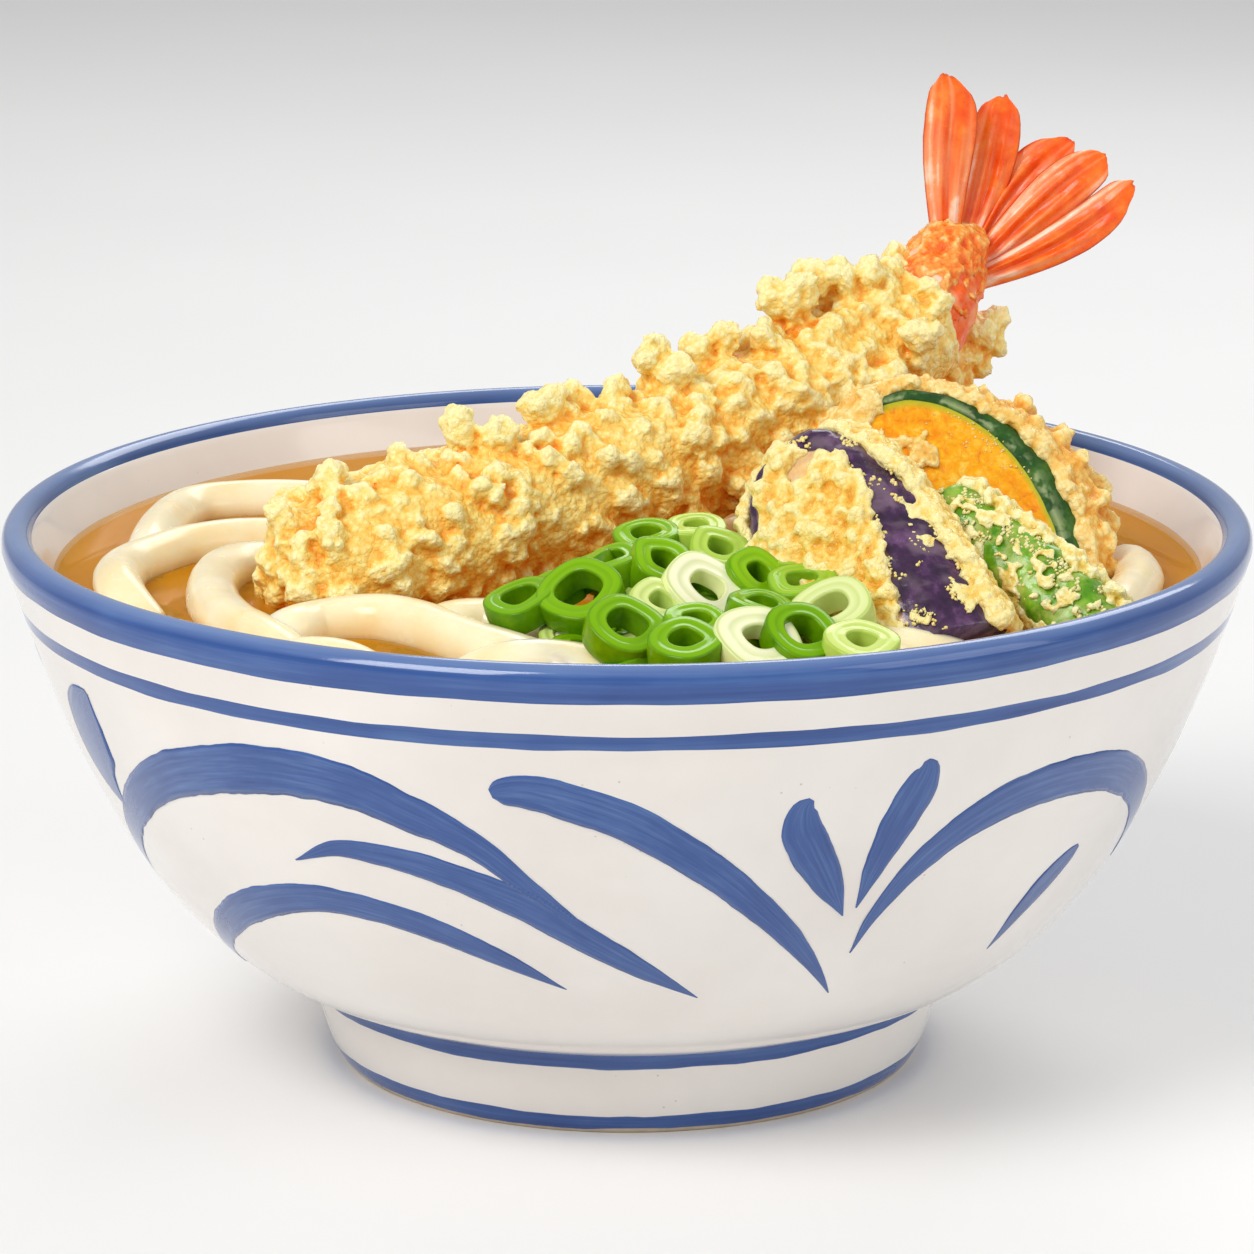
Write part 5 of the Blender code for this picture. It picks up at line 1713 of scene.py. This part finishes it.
def broth_material():
    """Amber film: tone red is the depth of the liquid, which darkens it and hides what lies below."""
    g = Graph("amber_broth")
    deep, _, _ = g.tone()
    cloud = g.noise(40.0, 3.0)
    base = g.mix(deep, (0.88, 0.46, 0.035), (0.68, 0.265, 0.002))
    base = g.mix(g.span(cloud, 0.3, 0.7, 0.0, 0.3), base, (0.86, 0.42, 0.012))
    g.set(colour=base, roughness=0.03, specular=0.06, ior=1.33)
    g.put(g.shader.inputs["Alpha"], g.span(deep, 0.0, 1.0, 0.30, 0.66))
    g.set(normal=g.bump(g.noise(60.0, 2.0), 0.06, 0.5))
    return g.material


def broth_surface(edge, angles):
    """Rings of the surface from the wall inwards: the liquid creeps up the wall a little."""
    radii = np.concatenate([np.linspace(edge, edge - 3, 9), np.linspace(edge - 4, 1, 68)])
    for radius in radii:
        ring = level_ring(radius, angles, 0)
        lift = 0.55 * np.exp(-(edge - radius) / 0.8)
        ring[:, 2] = BROTH_LEVEL + lift + 0.03 * lattice_noise(ring, 12, 1)
        yield ring


def creep_up_noodles(verts):
    """The liquid also creeps up the noodles that break its surface."""
    strands = np.vstack([smooth_route(places, 1.5) for places in NOODLE_ROUTES])
    surface = np.flatnonzero(verts[:, 2] > BROTH_LEVEL - 0.2)
    for chunk in np.array_split(surface, 40):
        away = np.sqrt(((verts[chunk, None, :2] - strands[None, :, :2]) ** 2).sum(-1))
        rise = np.exp(-np.maximum(away - 3.7, 0) / 0.9) * (strands[None, :, 2] > 79.5)
        verts[chunk, 2] += 0.40 * rise.max(axis=1)


def build_broth():
    angles = circle(270)
    edge = inner_radius(BROTH_LEVEL + 0.5) + 0.25
    rings = [level_ring(inner_radius(height) + 0.25, angles, height)
             for height in (19.0, 24.0, 32.0, 44.0, 58.0, 70.0, 77.0, 80.0)]
    rings += broth_surface(edge, angles)
    verts, faces = closed_rings(np.array(rings))
    creep_up_noodles(verts)
    cells = np.clip(np.round(verts[:, :2] + 100).astype(int), 0, Bed.count - 1)
    below = BROTH_LEVEL - Bed.height[cells[:, 0], cells[:, 1]]
    wall_gap = (edge - np.hypot(verts[:, 0], verts[:, 1])) * 2.2
    deep = np.clip(np.minimum(below, wall_gap + 2.0) / 9.0, 0, 1)
    piece = add_piece("broth_liquid", verts, faces, [broth_material()], "broth", np.stack([deep] * 3, 1))
    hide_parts("broth")


# ================================================================ stage

FLOOR_SIZE = 24.0
LIGHT_TARGET = (0, 0, 0.07)
# Area lights: place, (width, height), watts, colour
LIGHTS = {
    "key": ((-0.55, -0.65, 0.85), (0.55, 0.55), 8.6, (1.0, 0.98, 0.95)),
    "fill": ((0.9, -0.5, 0.55), (0.7, 0.7), 2.6, (1.0, 1.0, 1.0)),
    "back": ((0.25, 0.8, 0.75), (0.8, 0.4), 3.4, (1.0, 1.0, 1.0)),
}


def floor_material():
    g = Graph("pale_floor")
    g.set(colour=g.ramp(g.noise(6.0, 2.0), (0.3, (0.88, 0.88, 0.88)), (0.7, (0.90, 0.90, 0.90))),
          roughness=0.6)
    return g.material


def build_stage():
    mesh = bpy.data.meshes.new("floor")
    half = FLOOR_SIZE / 2
    corners = [(-half, -half, 0), (half, -half, 0), (half, half, 0), (-half, half, 0)]
    mesh.from_pydata(corners, [], [(0, 1, 2, 3)])
    mesh.materials.append(floor_material())
    floor = bpy.data.objects.new("floor", mesh)
    bpy.context.scene.collection.objects.link(floor)


def add_light(name, place, size, power, colour):
    lamp = bpy.data.lights.new(name, "AREA")
    lamp.shape = "RECTANGLE"
    lamp.size, lamp.size_y = size
    lamp.energy = power
    lamp.color = colour
    light = bpy.data.objects.new(name, lamp)
    light.location = place
    aim = Vector(LIGHT_TARGET) - Vector(place)
    light.rotation_euler = aim.to_track_quat("-Z", "Y").to_euler()
    bpy.context.scene.collection.objects.link(light)


def build_lights():
    world = bpy.data.worlds.new("studio")
    world.use_nodes = True
    background = world.node_tree.nodes["Background"]
    background.inputs["Color"].default_value = (1.0, 1.0, 1.0, 1.0)
    background.inputs["Strength"].default_value = 0.50
    bpy.context.scene.world = world
    for name, settings in LIGHTS.items():
        add_light(name, *settings)


# The photograph's view: metres in front, metres up, degrees of downward pitch and lens in mm
CAMERA_DISTANCE = 0.900
CAMERA_HEIGHT = 0.2992
CAMERA_PITCH = 14.3
CAMERA_LENS = 165.2


def build_camera():
    data = bpy.data.cameras.new("camera")
    data.lens = CAMERA_LENS
    data.sensor_width = 36.0
    data.clip_start = 0.01
    camera = bpy.data.objects.new("camera", data)
    camera.location = (0.0, -CAMERA_DISTANCE, CAMERA_HEIGHT)
    camera.rotation_euler = (math.radians(90 - CAMERA_PITCH), 0.0, 0.0)
    bpy.context.scene.collection.objects.link(camera)
    bpy.context.scene.camera = camera
    bpy.context.scene.view_settings.view_transform = "Standard"


def main():
    build_bowl()
    build_strokes()
    build_prawn()
    build_tail()
    build_aubergine()
    build_pumpkin()
    build_pepper()
    build_onion()
    build_noodles()
    build_broth()
    build_stage()
    build_lights()
    build_camera()


main()
bpy.context.view_layer.update()
